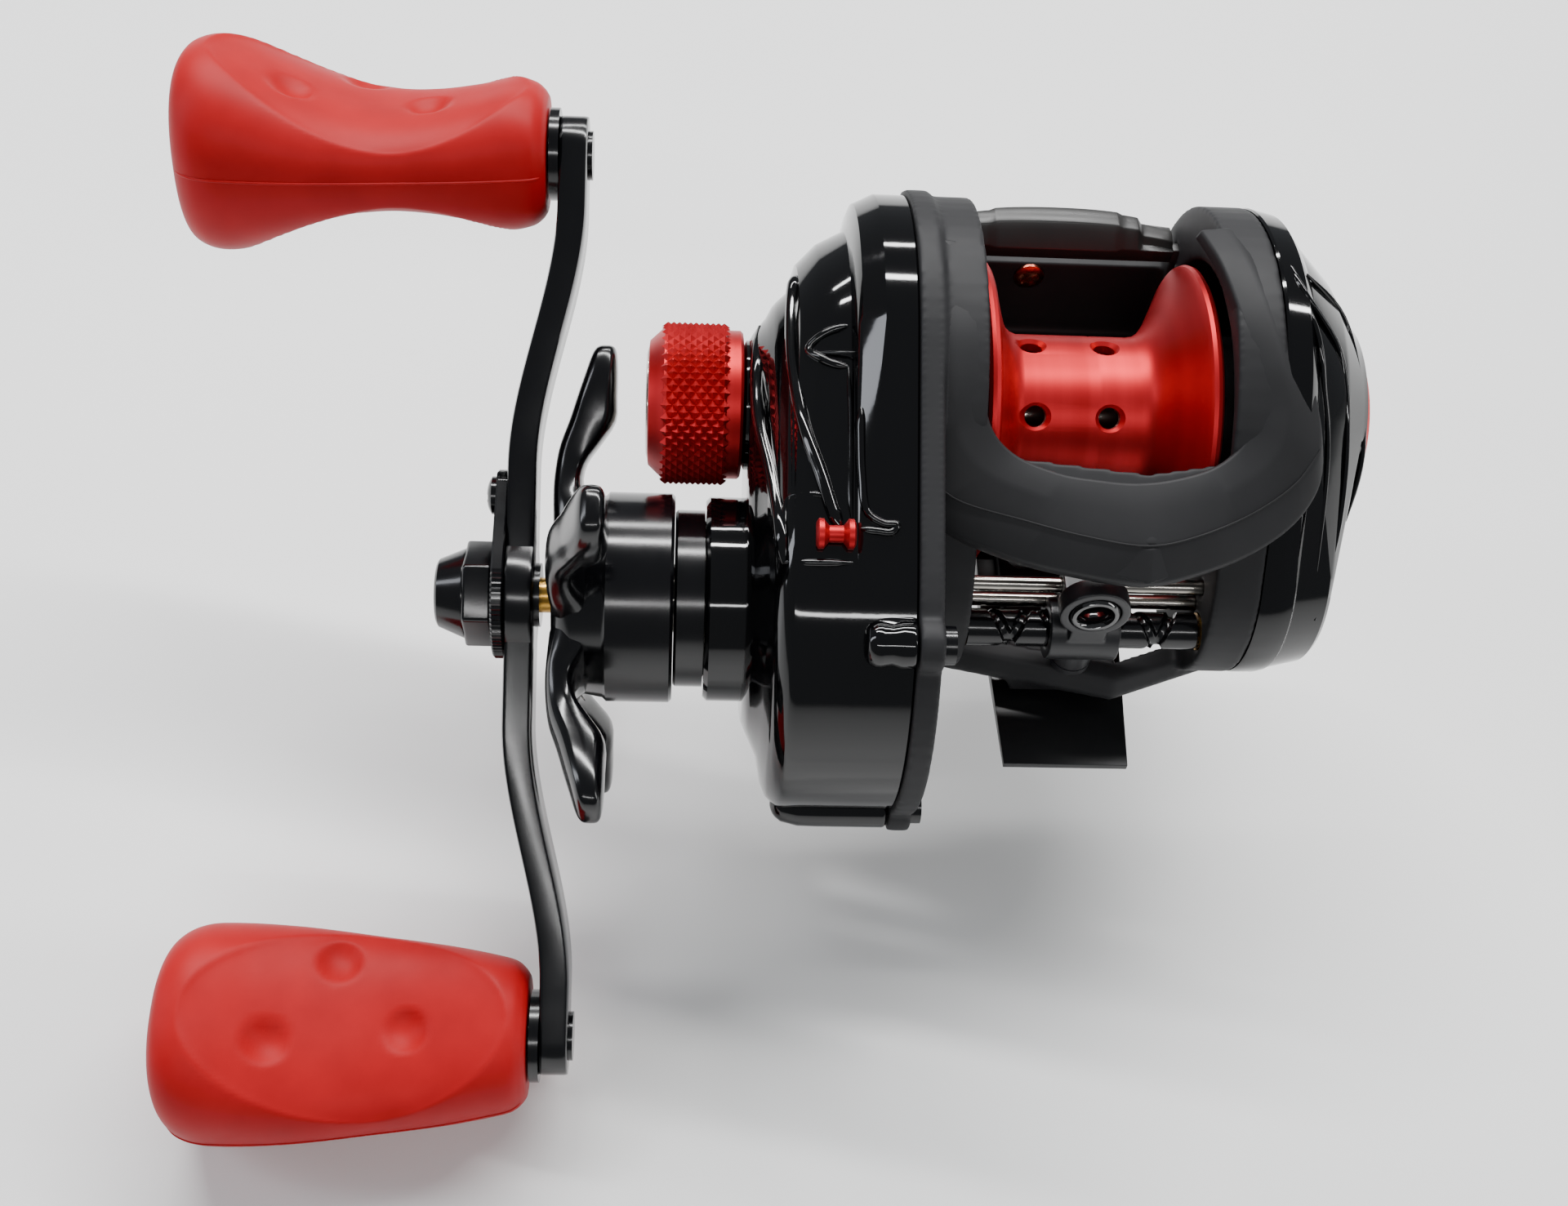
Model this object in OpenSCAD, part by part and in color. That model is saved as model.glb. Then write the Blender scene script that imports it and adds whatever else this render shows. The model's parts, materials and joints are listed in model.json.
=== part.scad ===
/* [Layout] */
// Height of the spool axis above the foot's bottom face
spool_z = 22; // [22:0.5:26]
// Angle of the main shaft below and in front of the spool axis
gear_angle = 35; // [30:1:38]
// Distance between the two knob axes on the handle arm
handle_span = 95; // [80:1:114]
// Tilt of the handle arm above the horizontal
handle_angle = 35; // [0:5:355]

/* [Gear train] */
// Module of the drive gear and pinion
gear_module = 0.52; // [0.5:0.01:0.54]
// Teeth on the drive gear
drive_teeth = 70; // [66:1:72]
// Teeth on the pinion
pinion_teeth = 11; // [11:1:12]
// Module of the level-wind gears
wind_module = 0.4; // [0.38:0.01:0.44]
// Teeth on the level-wind idler
idler_teeth = 18; // [17:1:20]
// Teeth on the worm gear
worm_teeth = 14; // [13:1:15]
// Rise of the worm axis in front of the main shaft, in degrees
worm_lift = 34; // [30:1:40]

/* [Spool] */
// Width over the two spool flanges
spool_w = 24; // [20:0.5:28]
// Radius of the spool flanges
flange_r = 16.6; // [14:0.1:17]
// Radius of the bare arbor
arbor_r = 8.6; // [7:0.1:11]
// Thickness of a flange at its rim
flange_t = 1.3; // [0.9:0.1:2]
// Radius of the spool shaft in its bearings
spool_shaft_r = 1.5; // [1.2:0.1:1.6]

/* [Frame] */
// Radius of the rounded rear of the side outline
rear_r = 20.7; // [20:0.1:24]
// Radius of the rounded nose of the side outline
nose_r = 12.5; // [11.5:0.1:14]
// Thickness of the frame's left arm
left_arm_t = 4.5; // [4:0.1:7]
// Thickness of the gear plate beside the left arm
gear_plate_t = 2.5; // [2:0.1:4]
// Thickness of the frame's right arm
right_arm_t = 5; // [4:0.1:7]
// Gap between a spool flange and a frame arm
side_gap = 0.5; // [0.3:0.1:1]
// Wall of the cradle below and behind the spool
cradle_t = 2.6; // [1.8:0.1:3.2]

/* [Covers] */
// Radius of the gear case round the main shaft
case_r = 22.4; // [21.6:0.1:24]
// Wall of the gear-side cover
cover_wall = 1.5; // [1.2:0.1:1.8]
// Depth of the gear-side cover from the gear plate to its outer face
cover_depth = 13; // [12.6:0.1:16]
// Depth of the palm-side plate
palm_depth = 12.5; // [12:0.5:16]

/* [Foot] */
// Length of the reel foot
foot_len = 58; // [50:1:66]
// Width of the reel foot at its middle
foot_w = 16; // [14:0.5:18]
// Width of the reel foot at its tips
foot_tip_w = 13.7; // [12:0.1:15]
// Thickness of the foot plate
foot_t = 1.6; // [1.2:0.1:2]

/* [Level wind] */
// Radius of the worm shaft
worm_r = 2; // [1.7:0.1:2.3]
// Radius of each guide rod
rod_r = 0.8; // [0.6:0.05:1]
// Width of the line guide along the worm
guide_w = 7.4; // [6:0.1:9]
// Radius of the hole in the line guide's ring
eye_r = 1.65; // [1.2:0.05:2]

/* [Handle] */
// Thickness of the handle arm
arm_t = 3; // [2.4:0.1:3.4]
// Width of the handle arm
arm_w = 9; // [8:0.1:12]
// Offset of the arm's ends towards the reel
arm_bend = 4.6; // [2:0.1:5]
// Length of a knob
knob_len = 38.4; // [34:0.1:46]
// Radius of a knob post
post_r = 2; // [1.6:0.1:2.6]

/* [Drag star and cast control] */
// Radius from the main shaft to the tip of a star arm
star_r = 27; // [24:0.5:31]
// Number of star arms
star_arms = 5; // [4:1:6]
// Radius of the star's hub
star_hub_r = 11.3; // [10:0.1:12]
// Radius over the knurl of the cast-control knob
cast_r = 8.65; // [7.6:0.05:9.2]

/* [Controls] */
// Travel of the thumb bar when it is pressed
bar_travel = 3; // [2:0.5:4]
// Radius of the brake dial
dial_r = 9.5; // [7:0.1:10]

/* [Fits] */
// Radial clearance of a shaft that turns or slides
run_gap = 0.05; // [0.03:0.01:0.1]
// Clearance between parts that pass each other
pass_gap = 0.3; // [0.2:0.05:0.5]

/* [Hidden] */
$fn = 64;
e = 0.01;
soft_fn = 32;

// Gear centre distances
gear_cd = gear_module * (drive_teeth + pinion_teeth) / 2;
worm_cd = wind_module * (idler_teeth + worm_teeth) / 2;
main_y = -gear_cd * cos(gear_angle);
main_z = spool_z - gear_cd * sin(gear_angle);
worm_y = main_y - worm_cd * cos(worm_lift);
worm_z = main_z + worm_cd * sin(worm_lift);

// Side outline, in (y, z)
rear_c = [3, spool_z + 0.2];
nose_c = [-13, spool_z - 8];

// Stations along the spool axis
inner_x = spool_w / 2 + side_gap;
arm_lx = -inner_x - left_arm_t;
plate_x = arm_lx - gear_plate_t;
case_x = plate_x - cover_depth;
arm_rx = inner_x + right_arm_t;
palm_x = arm_rx + palm_depth;
cover_step_x = plate_x - 6;

// Spool clearance and cradle
spool_clear_r = flange_r + 0.9;
pad_z = foot_t + 0.8;
keel_w = 12;

// Main shaft stations, counted outwards from the gear plate
idler_x = plate_x - 3.8;
idler_t = 2.4;
shaft_flange_x = idler_x - 1.3;
ratchet_x = shaft_flange_x - 1;
gear_t = 3.8;
gear_x = ratchet_x - gear_t;
drag_floor_x = gear_x + 2;
clutch_x = case_x - 7.4;
boss_r = 11.05;
clutch_r = 8;
sleeve_r = 4;
shaft_r = 2.9;
shaft_end_r = 1.9;
inner_journal_r = 1.5;
ring_x = clutch_x - 3;
star_x = ring_x - 0.3;
star_hub_len = 7.1;
star_face_x = star_x - star_hub_len;
arm_x = star_face_x - 7.7;
nut_x = arm_x - arm_t - 1.3;

// Cast control
neck_x = case_x - 10.5;
neck_r = 5.9;
cast_bore_r = neck_r + run_gap;
cast_end_x = neck_x - 3.4;
bearing_or = 5;
bearing_w = 4;
bearing_l_x = neck_x + 1.6;
shaft_tip_x = neck_x - 0.9;

// Palm side
bearing_r_x = arm_rx + 3.5;
brake_r = 9.1;
magnet_r = 12.3;
magnet_x = arm_rx + 3.6;
magnet_travel = 3;
shaft_right_x = bearing_r_x + bearing_w + 0.4;
dial_x = palm_x - 2.6;

// Level wind
rod_reach = worm_r + rod_r + 0.325;
rod_low = [worm_y, worm_z] + rod_reach * [cos(18.67), sin(18.67)];
rod_high = rod_low + [-0.2, 3.1];
eye_y = worm_y - 1.9;
eye_z = worm_z + 6.6;
eye_body_r = 3.65;
worm_journal_r = 1.2;
bush_r = 2;
rod_seat = 1.6;

// Thumb bar
bar_y = 18;
bar_z = spool_z + 6;
rear_wall_top = bar_z - bar_travel - 0.15;
wall_y = rear_c[0] + rear_r - 3.3;
wall_t = 1.8;
shelf_z = spool_z - 8;
screw_x = -3;
tongue_y = bar_y - 0.2;
tongue_w = 1.3;
tongue_h = 2;

// Screws that hold the gear-side cover, in (y, z)
screw_front_low = [main_y - 18.1, main_z - 12.7];
screw_front_high = [main_y - 15.9, main_z + 15.7];
screw_rear_low = [rear_c[0] + 10.5, rear_c[1] - 14.2];
screw_rear_high = [rear_c[0] + 9, rear_c[1] + 15.2];
cover_screw_places = [screw_front_low, screw_front_high, screw_rear_low, screw_rear_high];
palm_screw_places = [rear_c + 17.2 * [cos(66), sin(66)], rear_c + 16.9 * [cos(55), -sin(55)],
    nose_c + 7 * [cos(245), sin(245)]];

// Posts of the clutch yoke, square to the line between the two shafts
yoke_arm = 7 * [-sin(gear_angle), cos(gear_angle)];
collar_x = gear_x + gear_t + 1.25;
yoke_x = collar_x + 0.98;

// Keeper pin on the front of the gear case
keeper_c = [main_y, main_z] + (case_r + 0.6) * [cos(108.6), sin(108.6)];
keeper_x = case_x + 5.4;
keeper_len = 3.6;

// Knob seats on the handle arm, and the knob's sections as [share of its length, thin half, wide half]
seat_x = arm_x - arm_t + arm_bend;
knob_x = seat_x - 1.3;
knob_sections = [[0, 6.2, 6.7], [0.1, 7.7, 8.2], [0.37, 6.5, 10.3], [0.66, 8.7, 11.9],
    [0.87, 11, 12.1], [1, 6.6, 7.6]];

// Colours
matte_black = [0.17, 0.17, 0.18];
gloss_black = [0.04, 0.04, 0.05];
anodised_red = [0.78, 0.08, 0.06];
rubber_red = [0.83, 0.13, 0.15];
steel = [0.72, 0.72, 0.74];
brass_tone = [0.78, 0.62, 0.28];
carbon = [0.2, 0.2, 0.22];

// Extrudes a (y, z) outline along x
module along_x(x, len) {
    translate([x, 0, 0]) rotate([90, 0, 90]) linear_extrude(len) children();
}

// Round bar along x
module bar_x(x, c, r, len) {
    translate([x, c[0], c[1]]) rotate([0, 90, 0]) cylinder(r = r, h = len);
}

// Washer or tube along x
module tube_x(x, c, r_out, r_in, len) {
    difference() {
        bar_x(x, c, r_out, len);
        bar_x(x - 1, c, r_in, len + 2);
    }
}

// Cone frustum along x
module cone_x(x, c, r1, r2, len) {
    translate([x, c[0], c[1]]) rotate([0, 90, 0]) cylinder(r1 = r1, r2 = r2, h = len);
}

function spool_c() = [0, spool_z];
function main_c() = [main_y, main_z];
function worm_c() = [worm_y, worm_z];

// Outline of the frame's arms
module body_outline(grow = 0) {
    hull() {
        translate(rear_c) circle(r = rear_r + grow);
        translate(nose_c) circle(r = nose_r + grow);
    }
}

// Outline of the gear side
module gear_outline(grow = 0) {
    hull() {
        translate(rear_c) circle(r = rear_r + grow);
        translate(main_c()) circle(r = case_r + grow);
    }
}

// Spur gear outline with its first tooth at the given angle
module gear_outline_2d(teeth, m, first) {
    tip_r = m * (teeth / 2 + 0.7);
    root_r = m * (teeth / 2 - 0.95);
    pitch = 360 / teeth;
    polygon([for (i = [0 : teeth - 1], k = [[-0.3, root_r], [-0.13, tip_r], [0.13, tip_r], [0.3, root_r]])
        [k[1] * cos(first + pitch * (i + k[0])), k[1] * sin(first + pitch * (i + k[0]))]]);
}

// Toothed wheel along x
module gear_x_solid(x, c, teeth, m, first, len, bore) {
    difference() {
        along_x(x, len) translate(c) gear_outline_2d(teeth, m, first);
        bar_x(x - 1, c, bore, len + 2);
    }
}

// Ball bearing as one ring with recessed shields
module bearing(x, c, r_out, r_in, len) {
    difference() {
        tube_x(x, c, r_out, r_in, len);
        tube_x(x - 1, c, r_out - 0.6, r_in + 0.6, 1.2);
        tube_x(x + len - 0.2, c, r_out - 0.6, r_in + 0.6, 1.2);
    }
}

// Thin slice of an outline at one station, for hulls
module slice(x) {
    along_x(x, 0.02) children();
}

// Set-back of the roof's edge from its peak at x = 4
function hood_back(x) = x > 4 ? 5 * (x - 4.02) / (arm_rx - 5) : 5 * (4 - x) / (3 - arm_lx);

// Section of the roof over the line guide, at one station
module hood_slice(x, back) {
    slice(x) polygon([[-16.3 + back * 0.5, spool_z + 10.2], [-23.4 + back, spool_z + 7.2],
        [-22.4 + back, spool_z + 5.9], [-16.3 + back * 0.5, spool_z + 8.6]]);
}

// Section of the front bar, at one station
module front_bar_slice(x, back) {
    slice(x) polygon([[-22.4 + back, 7], [-24.6 + back, 6.6], [-25.6 + back, 4.6],
        [-25.2 + back, 3.5], [-22.8 + back, 3]]);
}

module frame_solid() {
    along_x(arm_lx, left_arm_t) body_outline();
    along_x(plate_x, gear_plate_t) {
        gear_outline(0.6);
        for (p = [screw_front_low, screw_front_high]) translate(p) circle(r = 2.7);
    }
    along_x(inner_x, right_arm_t) body_outline();
    // cradle below and behind the spool
    intersection() {
        along_x(arm_lx + 1, arm_rx - arm_lx - 2) difference() {
            translate(spool_c()) circle(r = spool_clear_r + cradle_t);
            translate(spool_c()) circle(r = spool_clear_r);
        }
        translate([arm_lx, -3, pad_z]) cube([arm_rx - arm_lx, 40, shelf_z - pad_z]);
    }
    // shelf and wall behind the spool
    along_x(arm_lx + 1, arm_rx - arm_lx - 2) polygon([[16.3, shelf_z], [wall_y, shelf_z],
        [wall_y, rear_wall_top], [wall_y + wall_t, rear_wall_top], [wall_y + wall_t, shelf_z + 0.6],
        [wall_y - 0.4, shelf_z - 2.1], [16.3, shelf_z - 2.1]]);
    // keel that carries the front bar
    translate([-keel_w / 2, -23.4, pad_z]) cube([keel_w, 17, 2.4]);
    translate([-keel_w / 2, -7, pad_z]) cube([keel_w, 5, 1.9]);
    hull() {
        front_bar_slice(5, 0);
        front_bar_slice(arm_rx - 1, 4.4);
    }
    hull() {
        front_bar_slice(5, 0);
        front_bar_slice(arm_lx + 1, 4.4);
    }
    difference() {
        union() {
            hull() {
                hood_slice(4, 0);
                hood_slice(arm_rx - 1, 5);
            }
            hull() {
                hood_slice(4, 0);
                hood_slice(arm_lx + 1, 5);
            }
        }
        bar_x(-inner_x, spool_c(), spool_clear_r - 0.2, 2 * inner_x);
    }
}

module frame() {
    color(matte_black) difference() {
        frame_solid();
        bar_x(inner_x - 1, spool_c(), flange_r + 0.6, right_arm_t + 2);
        bar_x(plate_x - 1, spool_c(), bearing_or + 0.5, 4);
        bar_x(plate_x - 1, spool_c(), 3.2, 10);
        bar_x(plate_x - 1, main_c(), 3.2, 4);
        bar_x(plate_x - 1, worm_c(), bush_r, left_arm_t + gear_plate_t + 2);
        bar_x(inner_x - 1, worm_c(), bush_r, 4);
        bar_x(-inner_x - rod_seat, rod_low, rod_r, 2 * inner_x + 2 * rod_seat);
        bar_x(-inner_x - rod_seat, rod_high, rod_r, 2 * inner_x + 2 * rod_seat);
        translate([plate_x - 1, tongue_y - run_gap, bar_z - bar_travel - 0.1])
            cube([left_arm_t + gear_plate_t + 2, tongue_w + 2 * run_gap, tongue_h + bar_travel + 0.2]);
        translate([inner_x - 1, tongue_y - run_gap, bar_z - bar_travel - 0.1])
            cube([3, tongue_w + 2 * run_gap, tongue_h + bar_travel + 0.2]);
        for (p = cover_screw_places) {
            bar_x(plate_x - 1, p, 1, 12);
            bar_x(arm_lx, p, 2.1, 12);
        }
        for (p = palm_screw_places) bar_x(arm_rx - 3, p, 0.9, 5);
        for (x = [-3.5, 3.5], y = [-7, 7]) translate([x, y, -1]) cylinder(r = 1.2, h = 12);
        translate([screw_x, wall_y - 1, rear_wall_top - 1.85]) rotate([-90, 0, 0]) cylinder(r = 0.9, h = 12);
    }
}

// Lip below the roof's crease, in front of the line guide
module lip_slice(x, back) {
    slice(x) polygon([[-23.42 + back, spool_z + 7.19], [-25.9 + back, spool_z + 4.4],
        [-24.9 + back, spool_z + 3.9], [-22.42 + back, spool_z + 5.89]]);
}

module front_lip() {
    color(matte_black) {
        hull() {
            lip_slice(4, 0);
            lip_slice(inner_x - 0.02, hood_back(inner_x));
        }
        hull() {
            lip_slice(4, 0);
            lip_slice(-inner_x, hood_back(-inner_x));
        }
    }
}

module reel_foot() {
    color(matte_black) difference() {
        union() {
            intersection() {
                linear_extrude(foot_t) polygon([[-foot_tip_w / 2, -foot_len * 0.55],
                    [foot_tip_w / 2, -foot_len * 0.55], [foot_w / 2, -10], [foot_w / 2, 10],
                    [foot_tip_w / 2, foot_len * 0.45], [-foot_tip_w / 2, foot_len * 0.45],
                    [-foot_w / 2, 10], [-foot_w / 2, -10]]);
                translate([-foot_w / 2, 0, 0]) rotate([90, 0, 90]) linear_extrude(foot_w)
                    polygon([[-foot_len * 0.55, 0], [foot_len * 0.45, 0], [foot_len * 0.45, 0.8],
                        [12, foot_t], [-14, foot_t], [-foot_len * 0.55, 0.8]]);
            }
            translate([-foot_w / 2, -10, foot_t - e]) cube([foot_w, 20, pad_z - foot_t + e]);
        }
        for (x = [-3.5, 3.5], y = [-7, 7]) translate([x, y, -1]) cylinder(r = 1.2, h = 12);
        for (x = [-3.5, 3.5], y = [-7, 7]) translate([x, y, -e]) cylinder(r1 = 2.2, r2 = 1.2, h = 1);
    }
}

module foot_rivets() {
    color(steel) for (x = [-3.5, 3.5], y = [-7, 7]) translate([x, y, 0]) {
        translate([0, 0, 0.2]) cylinder(r1 = 1.9, r2 = 1.15, h = 0.8);
        translate([0, 0, 1]) cylinder(r = 1.2, h = pad_z + 0.6);
    }
}

module cover_outer() {
    along_x(cover_step_x, plate_x - cover_step_x) gear_outline();
    hull() {
        slice(cover_step_x - 0.02) {
            translate([2, spool_z]) circle(r = 17.3, $fn = soft_fn);
            translate(main_c()) circle(r = case_r, $fn = 2 * soft_fn);
        }
        slice(case_x) {
            translate([0.5, spool_z]) circle(r = 14, $fn = soft_fn);
            translate(main_c()) circle(r = case_r, $fn = 2 * soft_fn);
        }
    }
    hull() {
        slice(case_x) {
            translate(spool_c()) circle(r = 11, $fn = soft_fn);
            translate(main_c()) circle(r = case_r - 0.3, $fn = 2 * soft_fn);
        }
        slice(case_x - 1.9) translate(spool_c()) circle(r = 8.4, $fn = soft_fn);
        slice(case_x - 3.4) translate(main_c()) circle(r = 15, $fn = soft_fn);
    }
    bar_x(clutch_x, main_c(), boss_r, 8);
    bar_x(case_x - 3.6, spool_c(), 7, 3.6);
    bar_x(neck_x, spool_c(), neck_r, 10);
    bar_x(case_x + 2, screw_front_low, 2.4, cover_depth - 2);
    cone_x(case_x, screw_front_low, 1.2, 2.4, 2);
    bar_x(plate_x - 3.6, screw_front_high, 2.4, 3.6);
}

module gear_side_cover() {
    color(gloss_black) difference() {
        union() {
            difference() {
                cover_outer();
                along_x(cover_step_x + 0.6, cover_depth) hull() {
                    translate(rear_c) circle(r = rear_r - cover_wall);
                    translate(main_c()) circle(r = case_r - cover_wall);
                }
                along_x(case_x + cover_wall, cover_depth) hull() {
                    translate(spool_c()) circle(r = 11);
                    translate(main_c()) circle(r = case_r - cover_wall);
                }
            }
            for (p = [screw_rear_low, screw_rear_high]) bar_x(cover_step_x, p, 2, plate_x - cover_step_x);
        }
        bar_x(clutch_x - 1, main_c(), clutch_r, 7);
        bar_x(clutch_x - 1, main_c(), sleeve_r + pass_gap, 20);
        bar_x(neck_x - 1, spool_c(), bearing_or, 2.6 + bearing_w);
        bar_x(neck_x - 1, spool_c(), 3.9, 20);
        for (p = cover_screw_places) bar_x(plate_x - 5.5, p, 1, 8);
        // notch that the keeper pin bridges
        bar_x(keeper_x, keeper_c, 1.9, keeper_len);
    }
}

// Pan-head screw along x with its head at the low-x or high-x end
module pan_screw(x, c, r, len, head_r, head_t, side) {
    bar_x(x, c, r, len);
    hx = side > 0 ? x + len : x - head_t;
    difference() {
        bar_x(hx, c, head_r, head_t);
        translate([side > 0 ? x + len + head_t - 0.4 : x - head_t - 0.1, c[0] - head_r * 0.6, c[1] - 0.2])
            cube([0.5, head_r * 1.2, 0.4]);
        translate([side > 0 ? x + len + head_t - 0.4 : x - head_t - 0.1, c[0] - 0.2, c[1] - head_r * 0.6])
            cube([0.5, 0.4, head_r * 1.2]);
    }
}

module cover_screws() {
    color(steel) for (p = cover_screw_places)
        pan_screw(plate_x - 5, p, 1, 5 + gear_plate_t, 1.9, 1.1, 1);
}

module keeper_pin() {
    color(anodised_red) {
        bar_x(keeper_x, keeper_c, 1.6, 0.9);
        bar_x(keeper_x, keeper_c, 1, keeper_len);
        bar_x(keeper_x + keeper_len - 0.9, keeper_c, 1.6, 0.9);
    }
}

module clutch_ring() {
    color(gloss_black) tube_x(ring_x, main_c(), 9.55, sleeve_r + pass_gap, 3);
}

module roller_clutch() {
    color(steel) tube_x(clutch_x, main_c(), clutch_r, 5.2, 6);
    color(steel) for (i = [0 : 7])
        bar_x(clutch_x + 0.5, main_c() + 4.62 * [cos(45 * i), sin(45 * i)], 0.55, 5);
}

module main_bearing() {
    color(steel) bearing(plate_x, main_c(), 3.2, inner_journal_r + run_gap, 3);
}

module pinion_bearing() {
    color(steel) bearing(plate_x, spool_c(), bearing_or + 0.5, 2.5 + run_gap, 3);
}

module spool_bearing_left() {
    color(steel) bearing(bearing_l_x, spool_c(), bearing_or, spool_shaft_r + run_gap, bearing_w);
}

module spool_bearing_right() {
    color(steel) bearing(bearing_r_x, spool_c(), bearing_or, spool_shaft_r + run_gap, bearing_w);
}

// Outline of the palm side at one station
module palm_slice(x, rear_at, r1, nose_at, r2) {
    slice(x) {
        translate(rear_at) circle(r = r1, $fn = 2 * soft_fn);
        translate(nose_at) circle(r = r2, $fn = 2 * soft_fn);
    }
}

module palm_outer() {
    hull() {
        palm_slice(arm_rx, rear_c, rear_r, nose_c, nose_r);
        palm_slice(arm_rx + 3.5, rear_c - [0.4, 0], rear_r - 1.4, nose_c, nose_r - 0.2);
    }
    hull() {
        palm_slice(arm_rx + 3.5, rear_c - [0.4, 0], rear_r - 1.4, nose_c, nose_r - 0.2);
        palm_slice(arm_rx + 8, [1, spool_z], 15.4, nose_c + [1, -0.5], nose_r - 1);
    }
    hull() {
        palm_slice(arm_rx + 8, [1, spool_z], 15.4, nose_c + [1, -0.5], nose_r - 1);
        palm_slice(palm_x - 1, [0.4, spool_z], 10.9, nose_c + [5.5, 1], nose_r - 6.5);
    }
}

module palm_side_plate() {
    color(gloss_black) difference() {
        union() {
            difference() {
                palm_outer();
                bar_x(arm_rx - 1, spool_c(), flange_r - 0.6, 4.5);
                bar_x(arm_rx, spool_c(), magnet_r + 0.1, 9);
            }
            tube_x(bearing_r_x - 1, spool_c(), bearing_or + 1.4, bearing_or, 7);
        }
        bar_x(bearing_r_x - 2, spool_c(), bearing_or, bearing_w + 2);
        bar_x(dial_x - 1.2, spool_c(), 3 + run_gap, 10);
        bar_x(dial_x, spool_c(), dial_r + pass_gap, 10);
        for (p = palm_screw_places) {
            bar_x(arm_rx - 1, p, 0.9, 6);
            bar_x(arm_rx + 2.2, p, 1.8, 14);
        }
    }
}

module palm_plate_screws() {
    color(steel) for (p = palm_screw_places) pan_screw(arm_rx - 2.8, p, 0.9, 5, 1.7, 1, 1);
}

module worm_bushes() {
    color(brass_tone) {
        tube_x(arm_lx, worm_c(), bush_r, worm_journal_r + run_gap, left_arm_t);
        tube_x(inner_x, worm_c(), bush_r, worm_journal_r + run_gap, 3);
    }
}

module guide_rods() {
    color(steel) for (c = [rod_low, rod_high])
        bar_x(-inner_x - rod_seat, c, rod_r, 2 * inner_x + 2 * rod_seat);
}

module rear_wall_screw() {
    color(brass_tone) translate([screw_x, wall_y, rear_wall_top - 1.85]) rotate([-90, 0, 0]) {
        translate([0, 0, -0.7]) cylinder(r = 1.75, h = 0.7);
        cylinder(r = 0.9, h = wall_t);
    }
}

// Two posts with springs that the clutch yoke slides on
module yoke_posts() {
    color(steel) for (s = [-1, 1]) bar_x(plate_x - 9, spool_c() + s * yoke_arm, 0.8, 9);
    // springs on the posts, each as a stack of rings
    color(steel) for (s = [-1, 1], i = [0 : 3])
        translate([plate_x - 8.6 + 0.56 * i, (s * yoke_arm)[0], spool_z + (s * yoke_arm)[1]])
            rotate([0, 90, 0]) rotate_extrude($fn = 24) translate([1.08, 0]) circle(r = 0.27, $fn = 16);
}

// Solid of revolution about the spool axis from (x, r) points
module turned(points) {
    translate([0, 0, spool_z]) rotate([0, 90, 0]) rotate_extrude() polygon([for (p = points) [p[1], p[0]]]);
}

module spool() {
    w = spool_w / 2;
    color(anodised_red) difference() {
        turned([[-w, 4.6], [-w, flange_r], [-w + flange_t * 0.6, flange_r], [-w + flange_t, flange_r - 0.6],
            [-w + 3.2, arbor_r + 1.4], [-w + 4.6, arbor_r], [w - 5.6, arbor_r], [w - 4.2, arbor_r + 1.2],
            [w - flange_t, flange_r - 0.6], [w - flange_t * 0.6, flange_r], [w, flange_r],
            [w, flange_r - 1], [w - 3.6, arbor_r - 1.4], [w - 3.6, 2.5], [-w + 2.4, 2.5], [-w + 2.4, 4.6]]);
        for (i = [0 : 5], x = [-3.6, 3.6]) translate([x, 0, spool_z]) rotate([60 * i + 25, 0, 0])
            translate([0, 0, 4]) cylinder(r = 1.35, h = 8);
        turned([[-w + 4, 4], [-w + 4, arbor_r - 1.3], [w - 5, arbor_r - 1.3], [w - 5, 4]]);
    }
}

module pin_solid() {
    translate([arm_lx + 0.9, -2.4, spool_z]) rotate([-90, 0, 0]) cylinder(r = 0.45, h = 4.8);
}

module spool_shaft() {
    color(steel) difference() {
        union() {
            bar_x(shaft_tip_x, spool_c(), spool_shaft_r, shaft_right_x - shaft_tip_x);
            bar_x(-13.4, spool_c(), 2.5, spool_w / 2 - 3.6 + 13.4);
        }
        pin_solid();
    }
}

module spool_pin() {
    color(steel) pin_solid();
}

module brake_rotor() {
    x = spool_w / 2 - 3.6;
    color([0.8, 0.8, 0.82]) {
        tube_x(x, spool_c(), 3.4, spool_shaft_r, 4);
        tube_x(x + 3.2, spool_c(), brake_r, spool_shaft_r, 0.8);
        tube_x(x + 3.2, spool_c(), brake_r, brake_r - 0.6, arm_rx - x - 1.4);
    }
}

module pinion() {
    first = gear_angle + 180 + 180 / pinion_teeth;
    color(brass_tone) difference() {
        union() {
            along_x(collar_x - 7.5, 7.6) translate(spool_c())
                gear_outline_2d(pinion_teeth, gear_module, first);
            bar_x(collar_x, spool_c(), 3.4, 0.9);
            bar_x(collar_x + 0.8, spool_c(), 2.3, 1.5);
            bar_x(collar_x + 2.15, spool_c(), 3.4, 0.9);
            bar_x(collar_x + 3, spool_c(), 2.5, arm_lx + 1.6 - collar_x - 3);
        }
        bar_x(plate_x - 20, spool_c(), spool_shaft_r + run_gap, 40);
        translate([arm_lx + 0.1, -3, spool_z - 0.55]) cube([2, 6, 1.1]);
    }
}

module clutch_yoke() {
    color(steel) difference() {
        along_x(yoke_x, 1.1) difference() {
            hull() {
                for (s = [-1, 1]) translate(spool_c() + s * yoke_arm) circle(r = 2.2);
                translate(spool_c()) circle(r = 4.6);
            }
            translate(spool_c()) circle(r = 2.3 + pass_gap);
            translate(spool_c()) rotate(gear_angle)
                translate([0, -2.3 - pass_gap]) square([8, 4.6 + 2 * pass_gap]);
        }
        for (s = [-1, 1]) bar_x(yoke_x - 1, spool_c() + s * yoke_arm, 0.8 + run_gap, 4);
    }
}

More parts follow.
